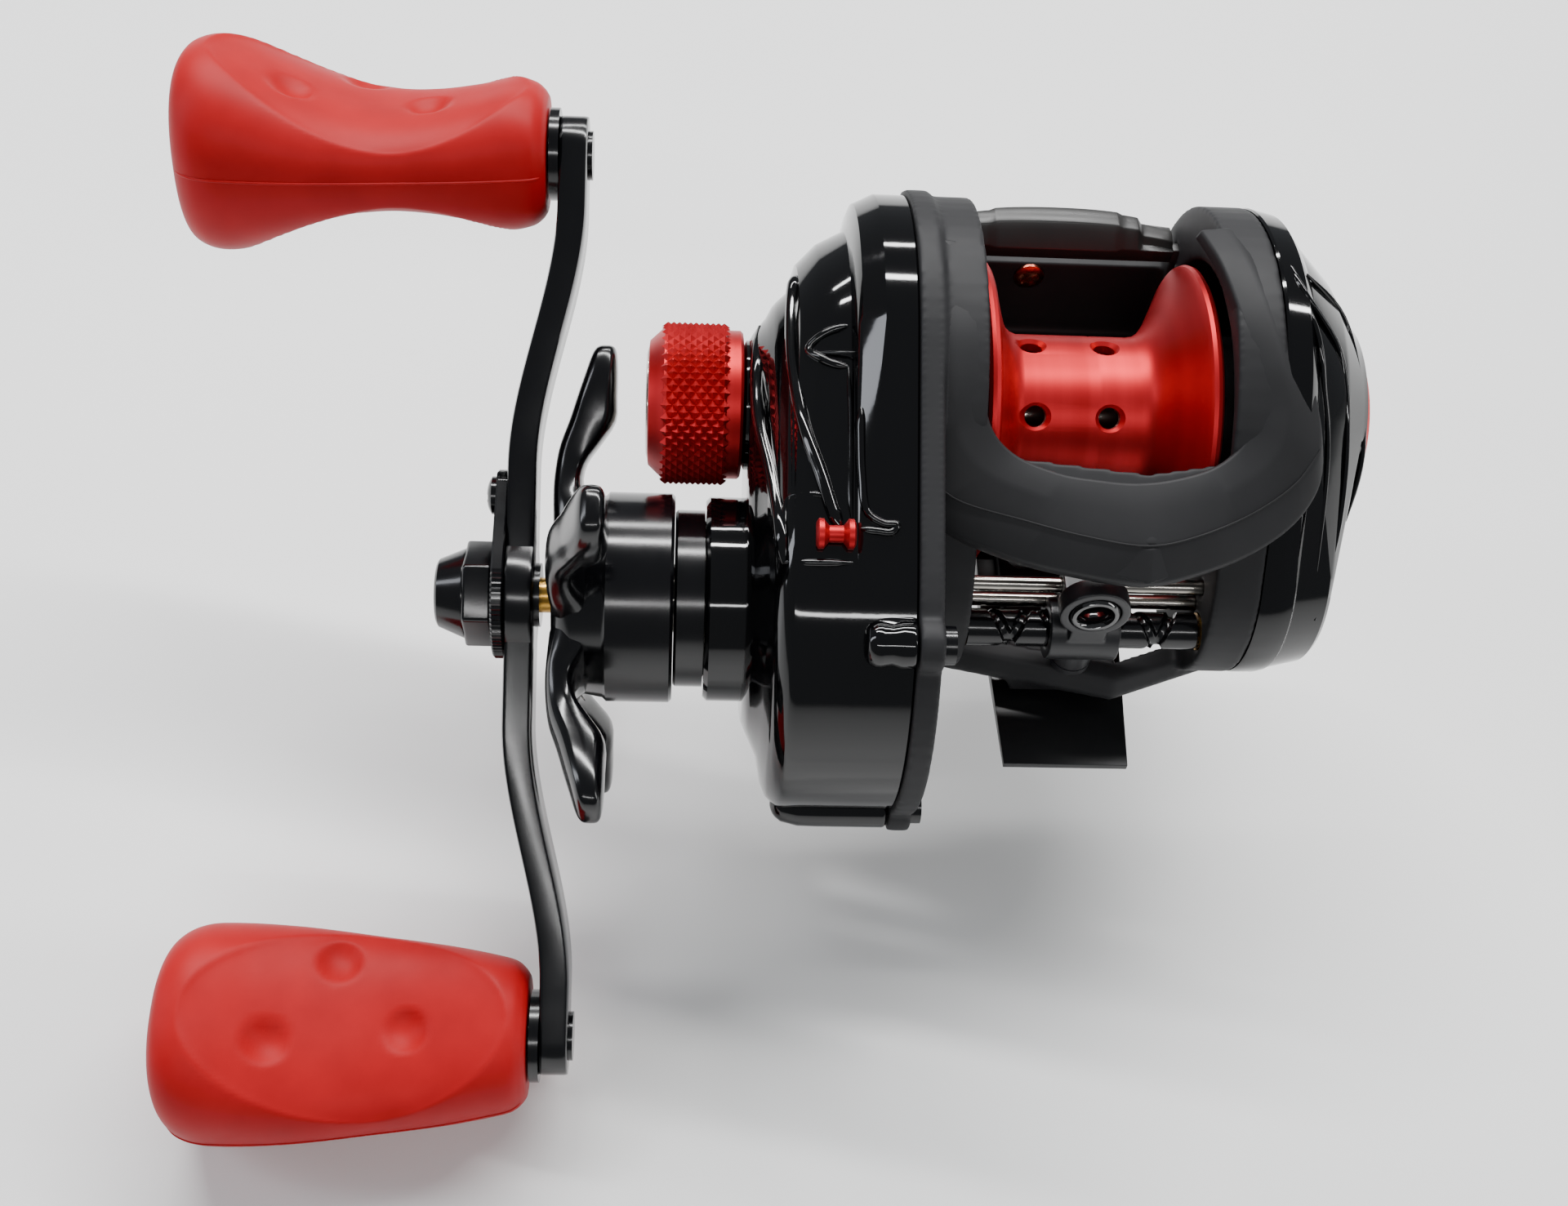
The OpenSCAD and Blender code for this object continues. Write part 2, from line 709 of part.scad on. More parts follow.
module thumb_bar() {
    color(matte_black) {
        along_x(-spool_w / 2, spool_w) polygon([[bar_y, bar_z], [bar_y - 0.4, bar_z + 2.4],
            [bar_y + 1, bar_z + 4.9], [bar_y + 3.1, bar_z + 4.8], [bar_y + 4.2, bar_z + 2.4],
            [bar_y + 3.4, bar_z]]);
        translate([plate_x - 0.2, tongue_y, bar_z]) cube([-plate_x + 0.2 - spool_w / 2, tongue_w, tongue_h]);
        translate([spool_w / 2, tongue_y, bar_z]) cube([1.8, tongue_w, tongue_h]);
    }
}

module clutch_cam_plate() {
    color(steel) along_x(plate_x - 1.2, 1) difference() {
        polygon([[10.4, bar_z - 4.6], [tongue_y + tongue_w - 0.5, bar_z - 1.6],
            [tongue_y + tongue_w - 0.5, bar_z + tongue_h - 0.1], [10.4, bar_z + tongue_h - 0.4]]);
        translate([12.8, bar_z - 1.4]) circle(r = 1);
    }
}

module worm_shaft() {
    color(gloss_black) {
        bar_x(-inner_x + 0.2, worm_c(), worm_r, 2 * inner_x - 0.4);
        bar_x(idler_x, worm_c(), worm_journal_r, inner_x - idler_x + 2.8);
    }
}

module worm_gear() {
    first = 180 - worm_lift + 180 + 180 / worm_teeth;
    color([0.9, 0.9, 0.88])
        gear_x_solid(idler_x, worm_c(), worm_teeth, wind_module, first, idler_t, worm_journal_r);
}

module idler_gear() {
    color([0.9, 0.9, 0.88])
        gear_x_solid(idler_x, main_c(), idler_teeth, wind_module, 180 - worm_lift, idler_t, shaft_end_r);
}

module line_guide() {
    w = guide_w / 2;
    color(matte_black) difference() {
        union() {
            bar_x(-w, worm_c(), worm_r + 1.3, guide_w);
            translate([-w + 1.2, worm_y - 0.9, worm_z]) cube([guide_w - 2.4, 4.9, 5.7]);
            translate([-1.9, eye_y - 1, worm_z]) cube([3.8, 2.2, 4]);
            translate([0, eye_y - 1, eye_z]) rotate([-90, 0, 0]) cylinder(r = eye_body_r, h = 2.2);
            translate([0, worm_y, worm_z - worm_r - 3]) cylinder(r = 2.2, h = 4);
        }
        bar_x(-w - 1, worm_c(), worm_r + run_gap, guide_w + 2);
        bar_x(-w - 1, rod_low, rod_r + run_gap, guide_w + 2);
        bar_x(-w - 1, rod_high, rod_r + run_gap, guide_w + 2);
        translate([0, eye_y - 2, eye_z]) rotate([-90, 0, 0]) cylinder(r = 2.7, h = 3.5);
        translate([0, worm_y, worm_z - worm_r - 3.1]) cylinder(r = 1.2, h = 4);
    }
}

module line_guide_ring() {
    color([0.1, 0.1, 0.11]) translate([0, eye_y - 1.3, eye_z]) rotate([-90, 0, 0]) difference() {
        cylinder(r = 2.7, h = 2.5);
        translate([0, 0, -1]) cylinder(r = eye_r, h = 5);
        translate([0, 0, -0.01]) cylinder(r1 = eye_r + 0.6, r2 = eye_r, h = 0.6);
        translate([0, 0, 1.91]) cylinder(r1 = eye_r, r2 = eye_r + 0.6, h = 0.6);
    }
}

module worm_pawl() {
    color(steel) translate([0, worm_y, worm_z - worm_r - 2.6]) cylinder(r = 1.2, h = 2.5);
}

module pawl_cap() {
    color(brass_tone) difference() {
        translate([0, worm_y, worm_z - worm_r - 3.8]) cylinder(r = 2.2, h = 0.8);
        translate([-2.5, worm_y - 0.25, worm_z - worm_r - 3.9]) cube([5, 0.5, 0.4]);
    }
    color(brass_tone) translate([0, worm_y, worm_z - worm_r - 3]) cylinder(r = 1.2, h = 0.4);
}

module cast_control_knob() {
    open_x = case_x - 3.8;
    color(anodised_red) difference() {
        union() {
            cone_x(cast_end_x, spool_c(), cast_r - 1.6, cast_r, 1.6);
            bar_x(cast_end_x + 1.6, spool_c(), cast_r, 6.7);
            bar_x(cast_end_x + 8.3, spool_c(), cast_r - 0.5, open_x - cast_end_x - 8.3);
        }
        bar_x(neck_x - 1.4, spool_c(), cast_bore_r, 30);
        bar_x(cast_end_x - 1, spool_c(), cast_r - 2.6, 1.6);
    }
}

module cast_control_disc() {
    color(steel) bar_x(cast_end_x - 0.2, spool_c(), cast_r - 2.6, 0.8);
}

module tension_washer() {
    color(brass_tone) bar_x(neck_x - 1.4, spool_c(), 3.4, 0.4);
}

module brake_dial() {
    color(anodised_red) {
        cone_x(palm_x - 0.8, spool_c(), dial_r, dial_r - 0.8, 0.8);
        bar_x(dial_x + 0.2, spool_c(), dial_r, palm_x - dial_x - 1);
        bar_x(dial_x - 1, spool_c(), 3, 1.4);
    }
}

module magnet_carrier() {
    color([0.25, 0.25, 0.27]) difference() {
        tube_x(magnet_x, spool_c(), magnet_r, brake_r + 0.5, 3);
        for (i = [0 : 7]) bar_x(magnet_x - 1, [10.9 * cos(45 * i), spool_z + 10.9 * sin(45 * i)], 1, 3);
    }
}

module brake_magnets() {
    color(steel) for (i = [0 : 7]) bar_x(magnet_x, [10.9 * cos(45 * i), spool_z + 10.9 * sin(45 * i)], 1, 2);
}

module main_shaft() {
    color(brass_tone) {
        bar_x(nut_x - 2, main_c(), shaft_end_r, star_face_x - nut_x + 0.5);
        bar_x(star_face_x - 2, main_c(), shaft_r, shaft_flange_x - star_face_x + 2.5);
        bar_x(shaft_flange_x, main_c(), 6.6, 1);
        bar_x(shaft_flange_x, main_c(), shaft_end_r, plate_x - shaft_flange_x - 0.2);
        bar_x(plate_x - 0.3, main_c(), inner_journal_r, 3);
    }
}

module ratchet_wheel() {
    color(steel) along_x(ratchet_x, 1) difference() {
        translate(main_c()) polygon([for (i = [0 : 15], k = [[0, 8.2], [1, 9.6]])
            [k[1] * cos(22.5 * i + 15 * k[0]), k[1] * sin(22.5 * i + 15 * k[0])]]);
        translate(main_c()) circle(r = shaft_r);
    }
}

module drive_gear() {
    color(brass_tone) difference() {
        gear_x_solid(gear_x, main_c(), drive_teeth, gear_module, gear_angle, gear_t, shaft_r);
        bar_x(gear_x - 1, main_c(), 13, 3);
        for (i = [0 : 5])
            bar_x(gear_x - 1, [main_y + 15.3 * cos(60 * i), main_z + 15.3 * sin(60 * i)], 1.2, 8);
    }
}

module drag_washers() {
    color(carbon) {
        tube_x(drag_floor_x - 0.7, main_c(), 12.6, shaft_r, 0.7);
        tube_x(drag_floor_x - 2.2, main_c(), 12.6, shaft_r, 0.7);
    }
}

module drag_plate() {
    color(steel) tube_x(drag_floor_x - 1.5, main_c(), 12.6, shaft_r, 0.8);
}

module pressure_plate() {
    color(steel) tube_x(drag_floor_x - 3, main_c(), 12.4, shaft_r, 0.8);
}

module clutch_sleeve() {
    color(steel) tube_x(ring_x + 0.2, main_c(), sleeve_r, shaft_r, drag_floor_x - 3 - ring_x - 0.2);
}

// Pair of dished spring washers back to back
module drag_springs() {
    color(steel) for (i = [0, 1]) difference() {
        cone_x(ring_x - 2.2 + 0.9 * i, main_c(), i == 0 ? 5.2 : 3.8, i == 0 ? 3.8 : 5.2, 0.9);
        bar_x(ring_x - 3, main_c(), shaft_r, 6);
    }
    color(steel) tube_x(ring_x - 0.4, main_c(), 3.7, shaft_r, 0.6);
}

// One arm of the drag star in the outline seen along the shaft
module star_arm_2d() {
    hull() {
        circle(r = star_hub_r * 0.5);
        translate([star_r - 3.3, 0]) circle(r = 3.3);
    }
}

module star_drag() {
    color(gloss_black) difference() {
        union() {
            bar_x(star_face_x, main_c(), star_hub_r, star_hub_len);
            bar_x(star_face_x - 5.4, main_c(), star_hub_r - 0.8, 5.5);
            intersection() {
                along_x(star_face_x - 8, 10) translate(main_c())
                    for (i = [0 : star_arms - 1]) rotate(360 / star_arms * i + gear_angle) star_arm_2d();
                translate([0, main_y, main_z]) rotate([0, 90, 0]) rotate_extrude()
                    polygon([[0, star_face_x - 5.2], [star_hub_r, star_face_x - 6.2],
                        [star_r * 0.72, star_face_x - 4.8], [star_r + 1, star_face_x - 2.6],
                        [star_r + 1, star_face_x + 0.9], [star_r * 0.72, star_face_x - 1.2],
                        [star_hub_r + 1.6, star_face_x + 0.3], [0, star_face_x + 1.8]]);
            }
        }
        translate([star_face_x + 1.5, main_y, main_z]) rotate([0, 90, 0]) cylinder(r = 6, h = 3.4, $fn = 6);
        bar_x(star_face_x + 4.8, main_c(), 8.4, 10);
        bar_x(star_face_x - 10, main_c(), shaft_r + run_gap, 20);
        bar_x(star_face_x - 10, main_c(), 4.8, 8);
    }
}

module star_nut() {
    color(brass_tone) difference() {
        translate([star_face_x + 1.5, main_y, main_z]) rotate([0, 90, 0]) cylinder(r = 6, h = 3.3, $fn = 6);
        bar_x(star_face_x, main_c(), shaft_r + run_gap, 10);
    }
}

module star_click_spring() {
    color(steel) tube_x(star_face_x - 2.5, main_c(), 4.4, 3.6, 0.5);
}

module shaft_spacer() {
    color(gloss_black) {
        tube_x(star_face_x - 4.6, main_c(), 3.45, shaft_end_r, 2.6);
        tube_x(arm_x, main_c(), 3.45, shaft_end_r, 0.6);
    }
}

// Places the children in the handle's own frame: s along the arm, x along the shaft
module on_handle() {
    translate([0, main_y, main_z]) rotate([handle_angle, 0, 0]) children();
}

module handle_arm() {
    h = handle_span / 2;
    color(gloss_black) difference() {
        on_handle() intersection() {
            translate([0, 0, -arm_w]) linear_extrude(2 * arm_w) polygon([
                [arm_x, -h * 0.33], [arm_x, h * 0.33],
                [arm_x + arm_bend, h * 0.87], [arm_x + arm_bend, h + 5],
                [arm_x - arm_t + arm_bend, h + 5], [arm_x - arm_t + arm_bend, h * 0.87],
                [arm_x - arm_t, h * 0.33], [arm_x - arm_t, -h * 0.33],
                [arm_x - arm_t + arm_bend, -h * 0.87], [arm_x - arm_t + arm_bend, -h - 5],
                [arm_x + arm_bend, -h - 5], [arm_x + arm_bend, -h * 0.87]]);
            translate([arm_x - 10, 0, 0]) rotate([90, 0, 90]) linear_extrude(20) {
                hull() {
                    translate([-h, 0]) circle(r = arm_w / 2 - 0.4);
                    translate([h, 0]) circle(r = arm_w / 2 - 0.4);
                }
                circle(r = arm_w / 2 + 2);
            }
        }
        bar_x(arm_x - 20, main_c(), shaft_end_r, 30);
        on_handle() for (s = [-h, h]) bar_x(arm_x - 10, [s, 0], post_r - 0.4, 30);
        on_handle() bar_x(arm_x - 10, [10.6, 0], 0.7, 20);
    }
}

module handle_nut() {
    color(gloss_black) difference() {
        union() {
            translate([nut_x - 3.2, main_y, main_z]) rotate([handle_angle, 0, 0]) rotate([0, 90, 0])
                cylinder(r = 5.85, h = 3.2, $fn = 6);
            cone_x(nut_x - 6.2, main_c(), 3.7, 4.85, 3);
        }
        bar_x(nut_x - 2, main_c(), shaft_end_r, 4);
    }
}

module nut_retainer() {
    color(gloss_black) on_handle() along_x(arm_x - arm_t - 1.3, 1.3) difference() {
        hull() {
            circle(r = 7);
            translate([11, 0]) circle(r = 2.6);
        }
        circle(r = shaft_end_r);
        translate([10.6, 0]) circle(r = 0.7);
    }
}

module retainer_screw() {
    color(gloss_black) on_handle() {
        bar_x(nut_x, [10.6, 0], 0.7, 3.4);
        bar_x(nut_x - 1.1, [10.6, 0], 2.1, 1.1);
    }
}

module knob_posts() {
    h = handle_span / 2;
    color(steel) on_handle() for (s = [-h, h]) {
        bar_x(seat_x - 27, [s, 0], post_r, 27);
        bar_x(seat_x - 1, [s, 0], post_r - 0.4, 1 + arm_t);
        bar_x(seat_x + arm_t, [s, 0], post_r + 0.6, 0.5);
    }
}

module knob_washers() {
    h = handle_span / 2;
    color(gloss_black) on_handle() for (s = [-h, h]) tube_x(seat_x - 1, [s, 0], 4.9, post_r, 1);
}

// Knob lofted through its sections; quarter turns its paddle about the post
module knob(s, quarter) {
    color(rubber_red) on_handle() translate([0, s, 0]) difference() {
        rotate([quarter * 90, 0, 0]) for (i = [0 : len(knob_sections) - 2]) hull() {
            for (p = [knob_sections[i], knob_sections[i + 1]])
                slice(knob_x - p[0] * knob_len) scale([p[1], p[2]]) circle(r = 1, $fn = soft_fn);
        }
        bar_x(knob_x - 27, [0, 0], post_r + run_gap, 30);
    }
}

module upper_knob() {
    knob(handle_span / 2, 0);
}

module lower_knob() {
    knob(-handle_span / 2, 1);
}

frame();
front_lip();
reel_foot();
foot_rivets();
gear_side_cover();
cover_screws();
keeper_pin();
clutch_ring();
roller_clutch();
main_bearing();
pinion_bearing();
spool_bearing_left();
spool_bearing_right();
palm_side_plate();
palm_plate_screws();
worm_bushes();
guide_rods();
rear_wall_screw();
yoke_posts();
spool();
spool_shaft();
spool_pin();
brake_rotor();
pinion();
clutch_yoke();
thumb_bar();
clutch_cam_plate();
worm_shaft();
worm_gear();
line_guide();
line_guide_ring();
worm_pawl();
pawl_cap();
cast_control_knob();
cast_control_disc();
tension_washer();
brake_dial();
magnet_carrier();
brake_magnets();
main_shaft();
idler_gear();
ratchet_wheel();
drive_gear();
drag_washers();
drag_plate();
pressure_plate();
clutch_sleeve();
drag_springs();
star_drag();
star_nut();
star_click_spring();
shaft_spacer();
handle_arm();
handle_nut();
nut_retainer();
retainer_screw();
knob_posts();
knob_washers();
upper_knob();
lower_knob();
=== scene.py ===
"""Low-profile baitcasting reel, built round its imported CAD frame."""
import json
import math

import bmesh
import bpy
from mathutils import Matrix, Vector


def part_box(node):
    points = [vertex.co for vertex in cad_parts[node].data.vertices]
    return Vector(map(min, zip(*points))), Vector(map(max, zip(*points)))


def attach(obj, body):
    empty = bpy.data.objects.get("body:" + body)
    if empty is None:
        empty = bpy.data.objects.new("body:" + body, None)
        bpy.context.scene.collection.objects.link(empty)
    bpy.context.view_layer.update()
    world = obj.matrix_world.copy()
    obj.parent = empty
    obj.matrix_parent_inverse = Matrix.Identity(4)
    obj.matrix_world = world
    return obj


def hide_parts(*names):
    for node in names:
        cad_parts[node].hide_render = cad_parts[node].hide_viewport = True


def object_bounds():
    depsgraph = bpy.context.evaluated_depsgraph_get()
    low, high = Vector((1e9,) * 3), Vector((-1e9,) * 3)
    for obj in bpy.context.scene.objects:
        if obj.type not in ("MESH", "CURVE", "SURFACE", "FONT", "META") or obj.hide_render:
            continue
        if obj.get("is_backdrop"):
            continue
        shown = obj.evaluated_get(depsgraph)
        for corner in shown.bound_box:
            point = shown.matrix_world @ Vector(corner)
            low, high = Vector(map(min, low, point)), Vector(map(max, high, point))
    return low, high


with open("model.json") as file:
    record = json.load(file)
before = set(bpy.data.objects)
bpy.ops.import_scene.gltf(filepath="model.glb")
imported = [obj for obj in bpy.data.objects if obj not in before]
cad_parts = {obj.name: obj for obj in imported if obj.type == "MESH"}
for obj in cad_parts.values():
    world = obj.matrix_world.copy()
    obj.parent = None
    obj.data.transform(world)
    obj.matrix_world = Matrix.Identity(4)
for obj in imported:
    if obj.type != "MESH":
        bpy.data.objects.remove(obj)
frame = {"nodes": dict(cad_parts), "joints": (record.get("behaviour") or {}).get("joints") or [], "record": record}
cad_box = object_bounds()

# ---------------------------------------------------------------- axes
# The reel hangs on three shafts along x: the spool's, the crank's and the worm's.
# All lengths below are millimetres, turned to metres when a mesh is made.
MM = 0.001
joints = {j["name"]: j for j in frame["joints"]}
spool_at, crank_at, worm_at, high_knob_at, low_knob_at = (
    [v / MM for v in joints[name]["pos_m"]][1:]
    for name in ("spool_spin", "handle_spin", "worm_spin", "upper_knob_spin", "lower_knob_spin"))


def reach(node):
    """Lowest and highest corner of a CAD node, in millimetres."""
    low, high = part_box(node)
    return low / MM, high / MM


# ---------------------------------------------------------------- camera
# The reel is seen from in front and well above, with the crank on the left.
camera_data = bpy.data.cameras.new("camera")
camera = bpy.data.objects.new("camera", camera_data)
bpy.context.scene.collection.objects.link(camera)
bpy.context.scene.camera = camera
camera_data.sensor_width = 36
camera_data.lens = 40.93
lift, yaw, roll = math.radians(55), math.radians(3.6), math.radians(1.3)
aim = Vector((-31.2, -17.5, 9.8)) * MM
look = Vector((math.sin(yaw), math.cos(yaw) * math.cos(lift), -math.cos(yaw) * math.sin(lift)))
level = look.cross(Vector((0, math.sin(lift), math.cos(lift)))).normalized()
rise = level.cross(look)
across = level * math.cos(roll) + rise * math.sin(roll)
upward = rise * math.cos(roll) - level * math.sin(roll)
seat = aim - look * 193.7 * MM
camera.matrix_world = Matrix((
    (across.x, upward.x, -look.x, seat.x), (across.y, upward.y, -look.y, seat.y),
    (across.z, upward.z, -look.z, seat.z), (0, 0, 0, 1)))


# ---------------------------------------------------------------- table and studio light
# A sheet of white board under the reel, lit from above by long thin tubes, so that
# polished parts show narrow reflections, and by a soft panel at each side.
def shade(hex_colour):
    """Linear colour of an sRGB hex value."""
    parts = [int(hex_colour[i:i + 2], 16) / 255 for i in (1, 3, 5)]
    return [p / 12.92 if p <= 0.04045 else ((p + 0.055) / 1.055) ** 2.4 for p in parts] + [1]


def add(tree, kind, links=(), **settings):
    """Adds a node; settings are attributes or input values, links are (input, source socket)."""
    node = tree.nodes.new(kind)
    for key, value in settings.items():
        if hasattr(node, key):
            setattr(node, key, value)
        else:
            node.inputs[key.replace("_", " ")].default_value = value
    for target, source in links:
        tree.links.new(source, node.inputs[target])
    return node


def finish_of(name, colour, roughness, **settings):
    """A new Principled material, its tree, its shader and an Object coordinate socket."""
    material = bpy.data.materials.new(name)
    material.use_nodes = True
    tree = material.node_tree
    shader = tree.nodes["Principled BSDF"]
    shader.inputs["Base Color"].default_value = shade(colour)
    shader.inputs["Roughness"].default_value = roughness
    for key, value in settings.items():
        shader.inputs[key.replace("_", " ")].default_value = value
    place = add(tree, "ShaderNodeTexCoord").outputs["Object"]
    return material, tree, shader, place


# White board: a coated card, faintly mottled and a little greyer in broad patches.
board, tree, shader, place = finish_of("white_board", "#E2E3E4", 0.42)
mottle = add(tree, "ShaderNodeTexNoise", [("Vector", place)], Scale=9, Detail=3)
tone = add(tree, "ShaderNodeValToRGB", [("Fac", mottle.outputs["Fac"])])
tone.color_ramp.elements[0].color = shade("#E7E7E7")
tone.color_ramp.elements[1].color = shade("#F5F5F3")
tree.links.new(tone.outputs["Color"], shader.inputs["Base Color"])
grit = add(tree, "ShaderNodeTexNoise", [("Vector", place)], Scale=900, Detail=2)
press = add(tree, "ShaderNodeBump", [("Height", grit.outputs["Fac"])], Strength=0.05, Distance=0.0002)
tree.links.new(press.outputs["Normal"], shader.inputs["Normal"])
floor_mesh = bpy.data.meshes.new("table")
floor_z = cad_box[0].z - 0.0004
floor_mesh.from_pydata([(x, y, floor_z) for x, y in ((-3, -3), (3, -3), (3, 3), (-3, 3))], [], [(0, 1, 2, 3)])
floor_mesh.materials.append(board)
floor = bpy.data.objects.new("table", floor_mesh)
bpy.context.scene.collection.objects.link(floor)
floor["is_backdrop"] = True

world = bpy.data.worlds.new("room")
bpy.context.scene.world = world
world.use_nodes = True
world.node_tree.nodes["Background"].inputs["Color"].default_value = shade("#DFE4EA")
world.node_tree.nodes["Background"].inputs["Strength"].default_value = 0.27


def panel(name, at, towards, size, watts, tint="#FFFFFF"):
    """A soft rectangular light, aimed at a point of the reel."""
    data = bpy.data.lights.new(name, "AREA")
    data.shape = "RECTANGLE"
    data.size, data.size_y = size
    data.energy = watts
    data.color = shade(tint)[:3]
    light = bpy.data.objects.new(name, data)
    light.location = Vector(at)
    light.rotation_euler = (Vector(towards) - Vector(at)).to_track_quat("-Z", "Y").to_euler()
    bpy.context.scene.collection.objects.link(light)


reel_middle = (-0.03, -0.01, 0.01)
panel("ceiling_tube_far", (0.05, 0.36, 0.78), reel_middle, (1.1, 0.045), 12.5)
panel("ceiling_tube_back", (-0.05, 0.85, 0.75), reel_middle, (1.2, 0.05), 10.5)
panel("ceiling_tube_near", (-0.05, -0.62, 0.68), reel_middle, (0.9, 0.028), 2.3)
panel("window_side", (-0.75, 0.05, 0.42), reel_middle, (0.12, 0.7), 2.2, "#F2F6FF")
panel("side_fill", (0.75, -0.2, 0.35), reel_middle, (0.1, 0.5), 1.3)


# ---------------------------------------------------------------- frame casting
# One-piece moulded frame: two side arms, the roof over the line guide, the front bar and
# the cradle below the spool. Moulded, then sprayed with a soft-touch black coat.
def speckle(tree, shader, place, size_mm, depth_mm, spread=0.0, base=0.5):
    """Fine grain in the surface, and a slow drift of its roughness."""
    grain = add(tree, "ShaderNodeTexNoise", [("Vector", place)], Scale=1000 / size_mm, Detail=3)
    bump = add(tree, "ShaderNodeBump", [("Height", grain.outputs["Fac"])], Strength=0.6,
               Distance=depth_mm * MM)
    tree.links.new(bump.outputs["Normal"], shader.inputs["Normal"])
    if spread:
        drift = add(tree, "ShaderNodeTexNoise", [("Vector", place)], Scale=110, Detail=4)
        scale = add(tree, "ShaderNodeMapRange", [("Value", drift.outputs["Fac"])])
        scale.inputs["From Min"].default_value, scale.inputs["From Max"].default_value = 0.3, 0.7
        scale.inputs["To Min"].default_value = base - spread
        scale.inputs["To Max"].default_value = base + spread
        tree.links.new(scale.outputs["Result"], shader.inputs["Roughness"])


def two_tone(tree, shader, place, dark, light, size_mm):
    """Slow change between two close colours over the surface."""
    cloud = add(tree, "ShaderNodeTexNoise", [("Vector", place)], Scale=1000 / size_mm, Detail=5)
    ramp = add(tree, "ShaderNodeValToRGB", [("Fac", cloud.outputs["Fac"])])
    ramp.color_ramp.elements[0].position, ramp.color_ramp.elements[1].position = 0.3, 0.7
    ramp.color_ramp.elements[0].color, ramp.color_ramp.elements[1].color = shade(dark), shade(light)
    tree.links.new(ramp.outputs["Color"], shader.inputs["Base Color"])
    return cloud


soft_black, tree, shader, place = finish_of("soft_touch_black", "#19191B", 0.6, Specular_IOR_Level=0.32)
two_tone(tree, shader, place, "#171719", "#1C1C1E", 7)
speckle(tree, shader, place, 0.12, 0.006, 0.05, 0.6)


def mesh_piece(name, mesh, material, body, nodes, sharp=35):
    """Gives a mesh its finish and its place on a CAD body, standing for CAD nodes."""
    mesh.materials.clear()
    mesh.materials.append(material)
    mesh.shade_smooth()
    mesh.set_sharp_from_angle(angle=math.radians(sharp))
    thing = bpy.data.objects.new(name, mesh)
    bpy.context.scene.collection.objects.link(thing)
    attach(thing, body)
    if nodes:
        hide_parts(*nodes)
    return thing


def solid(name, verts, faces):
    """A closed mesh from points in millimetres, merged and with its faces outwards."""
    mesh = bpy.data.meshes.new(name)
    mesh.from_pydata([[c * MM for c in v] for v in verts], [], faces)
    work = bmesh.new()
    work.from_mesh(mesh)
    bmesh.ops.remove_doubles(work, verts=work.verts, dist=1e-7)
    bmesh.ops.recalc_face_normals(work, faces=work.faces)
    work.to_mesh(mesh)
    work.free()
    return mesh


def applied(mesh, *modifiers):
    """The mesh after modifiers, each given as (type, {settings})."""
    thing = bpy.data.objects.new("work", mesh)
    bpy.context.scene.collection.objects.link(thing)
    for kind, settings in modifiers:
        modifier = thing.modifiers.new(kind.lower(), kind)
        for key, value in settings.items():
            setattr(modifier, key, value)
    shaped = bpy.data.meshes.new_from_object(
        thing.evaluated_get(bpy.context.evaluated_depsgraph_get()))
    bpy.data.objects.remove(thing)
    return shaped


def from_cad(node):
    """A merged copy of a CAD node's mesh, with its flat faces made whole."""
    mesh = frame["nodes"][node].data.copy()
    work = bmesh.new()
    work.from_mesh(mesh)
    bmesh.ops.remove_doubles(work, verts=work.verts, dist=1e-6)
    bmesh.ops.dissolve_limit(work, angle_limit=math.radians(1), verts=work.verts, edges=work.edges)
    work.to_mesh(mesh)
    work.free()
    return mesh


def rounded(mesh, width_mm, segments=3, angle=32):
    """The mesh with its sharp edges broken."""
    return applied(mesh, ("BEVEL", dict(width=width_mm * MM, segments=segments, limit_method="ANGLE",
                                        angle_limit=math.radians(angle), use_clamp_overlap=True)))


def cast(mesh, voxel_mm, passes):
    """The mesh as a moulding: remeshed, and its edges rounded by smoothing."""
    return applied(mesh, ("REMESH", dict(mode="VOXEL", voxel_size=voxel_mm * MM)),
                   ("SMOOTH", dict(factor=0.5, iterations=passes)))


mesh_piece("frame_casting", cast(from_cad("frame"), 0.36, 4), soft_black, "reel_body", ["frame"],
           60)
mesh_piece("front_lip_moulding", cast(from_cad("front_lip"), 0.2, 4), soft_black, "reel_body",
           ["front_lip"], 60)

# ---------------------------------------------------------------- reel foot
# Stamped foot that slides into the rod's reel seat, riveted under the frame and sprayed
# with the frame.
foot_black, tree, shader, place = finish_of("foot_black", "#08080A", 0.36)
speckle(tree, shader, place, 0.15, 0.004, 0.05, 0.36)
mesh_piece("foot_plate", rounded(from_cad("reel_foot"), 0.5, 4), foot_black, "reel_body",
           ["reel_foot"])


# ---------------------------------------------------------------- gear-side cover
# Moulded cover over the gear train in three stepped tiers, with a lacquered piano-black
# coat. The gear case bulges at its lower front and the clutch boss stands out of it.
def ring_of(x, first, first_r, second, second_r, count=160):
    """Outline of two joined circles at one station, one point for each direction."""
    points = []
    for i in range(count):
        turn = 2 * math.pi * i / count
        way = (math.cos(turn), math.sin(turn))
        far = max(((first, first_r), (second, second_r)),
                  key=lambda c: c[0][0] * way[0] + c[0][1] * way[1] + c[1])
        points.append((x, far[0][0] + far[1] * way[0], far[0][1] + far[1] * way[1]))
    return points


def lofted(rings, caps=True):
    """Points and faces of a skin over rings of equal length."""
    count = len(rings[0])
    verts = [p for ring in rings for p in ring]
    faces = [(r * count + i, r * count + (i + 1) % count, (r + 1) * count + (i + 1) % count,
              (r + 1) * count + i) for r in range(len(rings) - 1) for i in range(count)]
    if caps:
        faces += [tuple(range(count)), tuple((len(rings) - 1) * count + i for i in range(count))]
    return verts, faces


